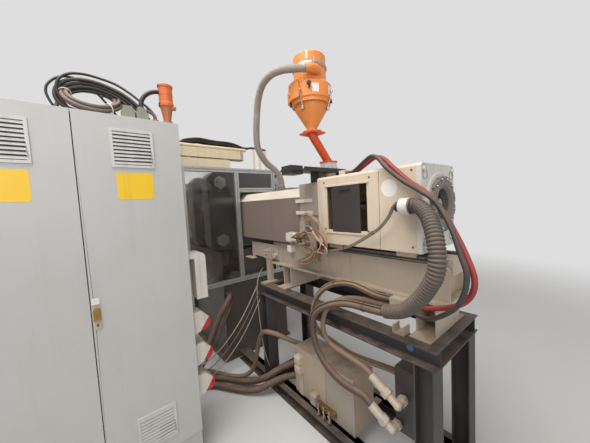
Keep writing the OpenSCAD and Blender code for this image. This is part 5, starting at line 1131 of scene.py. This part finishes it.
for sx in (-1, 1):
    for sy in (-1, 1):
        fittings.screw((1.250 + sx * 0.054, -0.155 + sy * 0.054, 2.151), (0, 0, 1), 0.0055, 0)
        fittings.screw((1.250 + sx * 0.039, sy * 0.039, 1.959), (0, 0, 1), 0.0055, 0)
fittings.done("hopper", 0.0004)

# %% [markdown]
# ### Cabinet
# The three power sockets are shut by thick red caps, and the doors carry plain yellow fields.
# The lock sits in a white and beige escutcheon, and ties hold the coil's turns together.

# %% Cabinet fittings
TILT = math.radians(35)
cap_axis = Vector((0, math.cos(TILT), -math.sin(TILT)))
for k in range(3):
    cap = Shape(f"socket_cap_{k + 1}", lid_red)
    mouth = Vector((0.850, -0.896, 0.880 - 0.215 * k))
    cap.spun(mouth + cap_axis * 0.0006, cap_axis,
             [(0, 0), (0, 0.0420), (0.002, 0.0445), (0.032, 0.0455), (0.036, 0.0430),
              (0.037, 0.0340), (0.033, 0.0320), (0.033, 0)], 0, 40)
    for step in range(12):
        turn = Matrix.Rotation(step * math.pi / 6, 3, cap_axis)
        rib = turn @ Vector((0.0450, 0, 0))
        cap.rod(mouth + rib + cap_axis * 0.004, mouth + rib + cap_axis * 0.032, 0.0024, sides=8)
    cap.done(f"lid_{k + 1}", 0.0005)
for name, body, y in (("door_field_left", "door_left", -1.724),
                      ("door_field_right", "door_right", -1.224)):
    field = Shape(name, label_yellow)
    field.plate((DOOR_FACE, y, 1.7955), (0, 1, 0), (0, 0, 1), 0.174, 0.145, 0.012, 0.0008)
    field.done(body, 0)
LOCK_Y = -1.452
escutcheon = Shape("lock_escutcheon", blank_white, hood_beige, black_plastic)
escutcheon.plate((DOOR_FACE, LOCK_Y, 1.118), (0, 1, 0), (0, 0, 1), 0.034, 0.128, 0.006, 0.004, 1)
escutcheon.plate((DOOR_FACE, LOCK_Y, 1.203), (0, 1, 0), (0, 0, 1), 0.034, 0.032, 0.006, 0.0055, 0)
for z in (1.078, 1.196):
    escutcheon.block((0.9440, -1.456, z - 0.006), (0.9448, -1.448, z + 0.006), 2)
escutcheon.done("door_right", 0.0005)
roof = Shape("roof_ties", blank_white, black_plastic, hood_green)
lean = Matrix.Rotation(COIL_LEAN, 3, "Y")
for turn in (35, 150, 265):
    spot = lean @ Vector((math.cos(math.radians(turn)), math.sin(math.radians(turn)), 0))
    along = lean @ Vector((-math.sin(math.radians(turn)), math.cos(math.radians(turn)), 0))
    roof.ring(COIL_MIDDLE / 1000 + spot * COIL_RADIUS / 1000, along, 0.0268, 0.004, 0, 28)
roof.ring((0.895, -1.022, 2.340), (0, 0, 1), 0.0387, 0.0010, 2, 48)
roof.spun((0.788, -1.458, 2.1752), (0, 0, 1), [(0, 0.019), (0.010, 0.019), (0.014, 0.015),
                                               (0.022, 0.012), (0.022, 0.007)], 1, 24)
for x, y in ((0.782, -1.504), (0.760, -1.250), (0.752, -1.532)):
    roof.spun((x, y, 2.1752), (0, 0, 1), [(0, 0.017), (0.010, 0.017), (0.014, 0.012),
                                          (0.020, 0.006)], 1, 24)
roof.done("machine", 0.0003)

# %% [markdown]
# ### Injection unit
# The drive flange is held by bright cap screws, thin black rings are painted shade in the end
# plate's bolt counterbores, and the hose manifold has hexagon couplings with ferrules.

# %% Drive end and manifold fittings
drive = Shape("drive_fittings", bright_steel, black_plastic, blank_white, dull_steel)
AXIS_Z, BOLT_CIRCLE, FLANGE_FACE, HOUSING_SIDE = 1.612, 0.130, 2.0602, -0.2009
for k in range(12):
    turn = math.radians(15 + 30 * k)
    drive.screw((FLANGE_FACE, BOLT_CIRCLE * math.cos(turn),
                 AXIS_Z + BOLT_CIRCLE * math.sin(turn)), (1, 0, 0), 0.0065, 0)
# Painted shade: thin black rings stand for the shade inside the end plate's bolt counterbores.
for sy in (-1, 1):
    for z in (1.430, 1.765):
        drive.ring((2.0313, sy * 0.160, z), (1, 0, 0), 0.024, 0.0022, 1, 32)
drive.rod((1.863, HOUSING_SIDE, 1.710), (1.863, HOUSING_SIDE - 0.001, 1.710), 0.046, tone=2,
          sides=48)
for x, z in ((1.742, 1.782), (1.7295, 1.472), (1.390, 1.782), (1.390, 1.474), (1.985, 1.790),
             (1.985, 1.405)):
    drive.screw((x, HOUSING_SIDE, z), (0, -1, 0), 0.0055, 3)
drive.ring((2.010, -0.252, AXIS_Z), (1, 0, 0), 0.0365, 0.003, 1, 40)
drive.done("carriage", 0.0003)
services = Shape("manifold_fittings", bright_steel, brass, black_plastic)
for x in (1.130, 1.172, 1.214):
    for z in (1.404, 1.354):
        services.rod((x, -0.232, z), (x, -0.240, z), 0.0105, tone=1, sides=6)
        services.rod((x, -0.240, z), (x, -0.248, z), 0.0075, 0.0062, tone=0, sides=20)
for z in (1.376, 1.397, 1.418):
    services.rod((1.105, -0.230, z), (1.124, -0.230, z), 0.0105, tone=1, sides=6)
    services.rod((1.124, -0.230, z), (1.140, -0.230, z), 0.0080, 0.0065, tone=0, sides=20)
services.rod((1.219, -0.228, 1.486), (1.262, -0.2295, 1.4855), 0.0125, 0.0085, tone=0, sides=24)
services.rod((1.219, -0.228, 1.486), (1.236, -0.2285, 1.486), 0.0155, tone=0, sides=6)
for x, z in ((1.010, 1.420), (1.060, 1.420), (1.010, 1.373), (1.060, 1.373)):
    services.screw((x, -0.254, z), (0, -1, 0), 0.0040, 0)
for x, z in ((1.000, 1.240), (1.280, 1.240), (1.000, 1.420), (1.280, 1.424), (1.150, 1.240)):
    services.screw((x, -0.206, z), (0, -1, 0), 0.0060, 0)
for name, share in (("signal_bundle", 0.3), ("signal_bundle", 0.62), ("manifold_loop", 0.35),
                    ("manifold_loop", 0.6), ("manifold_loop", 0.8)):
    line = even_line(smooth_route(ROUTES[name]), 0.01)
    k = int(share * len(line))
    services.ring(line[k], line[k + 1] - line[k - 1], 0.0112, 0.0022, 2, 24)
services.done("carriage", 0.0003)

# %% [markdown]
# ### Frame, bed and junction box
# Bolts hold the bed on its frame, the hoses that hang in loops are tied together, and three
# cables start in brass glands. Those glands stand clear of the pieces that should carry them,
# and a better route would start on those pieces.

# %% Fittings that stand with the machine
stand = Shape("stand_fittings", bright_steel, black_plastic, brass, blank_blue)
for name, radius, shares in (("loop_hoses", 0.0215, (0.28, 0.42, 0.60)),
                             ("lower_hose", 0.0262, (0.12, 0.5)), ("upper_hose", 0.0172, (0.4,))):
    line = even_line(smooth_route(ROUTES[name]), 0.01)
    for share in shares:
        k = int(share * len(line))
        stand.ring(line[k], line[k + 1] - line[k - 1], radius, 0.0026, 1, 28)
for x in (0.98, 1.12, 1.30, 1.48, 1.66, 1.84):
    stand.screw((x, -0.205, 1.1332), (0, 0, 1), 0.009, 0)
for x in (1.00, 1.56):
    for z in (0.124, 0.468):
        stand.screw((x, -0.2122, z), (0, -1, 0), 0.0055, 0)
stand.rod((1.978, -0.2384, 0.897), (1.978, -0.2396, 0.897), 0.018, tone=3, sides=36)
for name in ("drop_cable_1", "drop_cable_2", "post_cable"):
    start, after = (Vector(point) / 1000 for point in THIN_ROUTES[name][:2])
    way = (after - start).normalized()
    reach = 0.016 if name != "post_cable" else 0.008
    stand.spun(start - way * 0.004, way, [(0, 0), (0, reach), (0.014, reach),
                                          (0.020, reach * 0.7), (0.020, 0)], 2, 24)
stand.done("machine", 0.0004)
print("small parts made")

# %% [markdown]
# ## Floor, light and background
# The machine stands on a plain pale floor in soft light: a large lamp overhead, a weaker one
# from the camera's side, and an even pale sky. The sky that the camera sees, directly or in
# glass and metal, is set apart from the sky that lights the machine, so the background can
# be pale while the paint keeps its own brightness. Far from the machine the floor fades to a
# glow of the same tone. Unlike the sky's, that glow isn't kept to what the camera sees, so a
# little of it lights the machine too. Mixing it by Light Path would be the cleaner way.

# %% Floor, lamps and world
SKY_SEEN = srgb(222, 222, 222)
FLOOR_RADIUS, FADE_START, FADE_END = 60, 3.0, 7.5


def pale_floor():
    shell = bmesh.new()
    bmesh.ops.create_circle(shell, cap_ends=True, segments=96, radius=FLOOR_RADIUS)
    bmesh.ops.translate(shell, verts=shell.verts, vec=(0, 0, -0.0006))
    mesh = bpy.data.meshes.new("pale_floor")
    shell.to_mesh(mesh)
    shell.free()
    floor = placed("pale_floor", mesh)
    material = bpy.data.materials.new("pale_floor")
    material.use_nodes = True
    bench = Bench(material.node_tree)
    place = bench.put("ShaderNodeTexCoord").outputs["Object"]
    spot = bench.noise(place, 1.2, 4.0)
    away = bench.put("ShaderNodeVectorMath", {0: place}, operation="LENGTH").outputs["Value"]
    shader = material.node_tree.nodes["Principled BSDF"]
    material.node_tree.links.new(
        bench.blend(spot, srgb(206, 204, 200), srgb(198, 195, 190)), shader.inputs["Base Color"])
    shader.inputs["Roughness"].default_value = 0.75
    glow = bench.put("ShaderNodeEmission", {"Color": SKY_SEEN})
    mix = bench.put("ShaderNodeMixShader", {
        0: bench.fade(away, FADE_START, FADE_END), 1: shader.outputs["BSDF"], 2: glow.outputs["Emission"]})
    material.node_tree.links.new(mix.outputs["Shader"],
                                 material.node_tree.nodes["Material Output"].inputs["Surface"])
    mesh.materials.append(material)


def soft_lamp(name, place, aim, size, power):
    data = bpy.data.lights.new(name, "AREA")
    data.shape, data.size, data.energy = "DISK", size, power
    lamp = placed(name, data)
    lamp.location = place
    lamp.rotation_mode = "QUATERNION"
    lamp.rotation_quaternion = (Vector(aim) - Vector(place)).to_track_quat("-Z", "Y")


pale_floor()
soft_lamp("overhead", (1.4, -2.0, 5.4), (0.8, -0.4, 0.9), 3.4, 250)
soft_lamp("camera_side", (4.8, -2.6, 3.0), (0.9, -0.6, 1.2), 2.2, 62)
world = bpy.data.worlds.new("pale_sky")
scene.world = world
world.use_nodes = True
sky = Bench(world.node_tree)
path = sky.put("ShaderNodeLightPath").outputs
seen = sky.math("MAXIMUM", sky.math("MAXIMUM", path["Is Camera Ray"], path["Is Glossy Ray"]),
                path["Is Transmission Ray"])
backdrop = world.node_tree.nodes["Background"]
world.node_tree.links.new(
    sky.blend(seen, srgb(172, 172, 174), SKY_SEEN), backdrop.inputs["Color"])
backdrop.inputs["Strength"].default_value = 1.0
print("lamps:", len(bpy.data.lights))
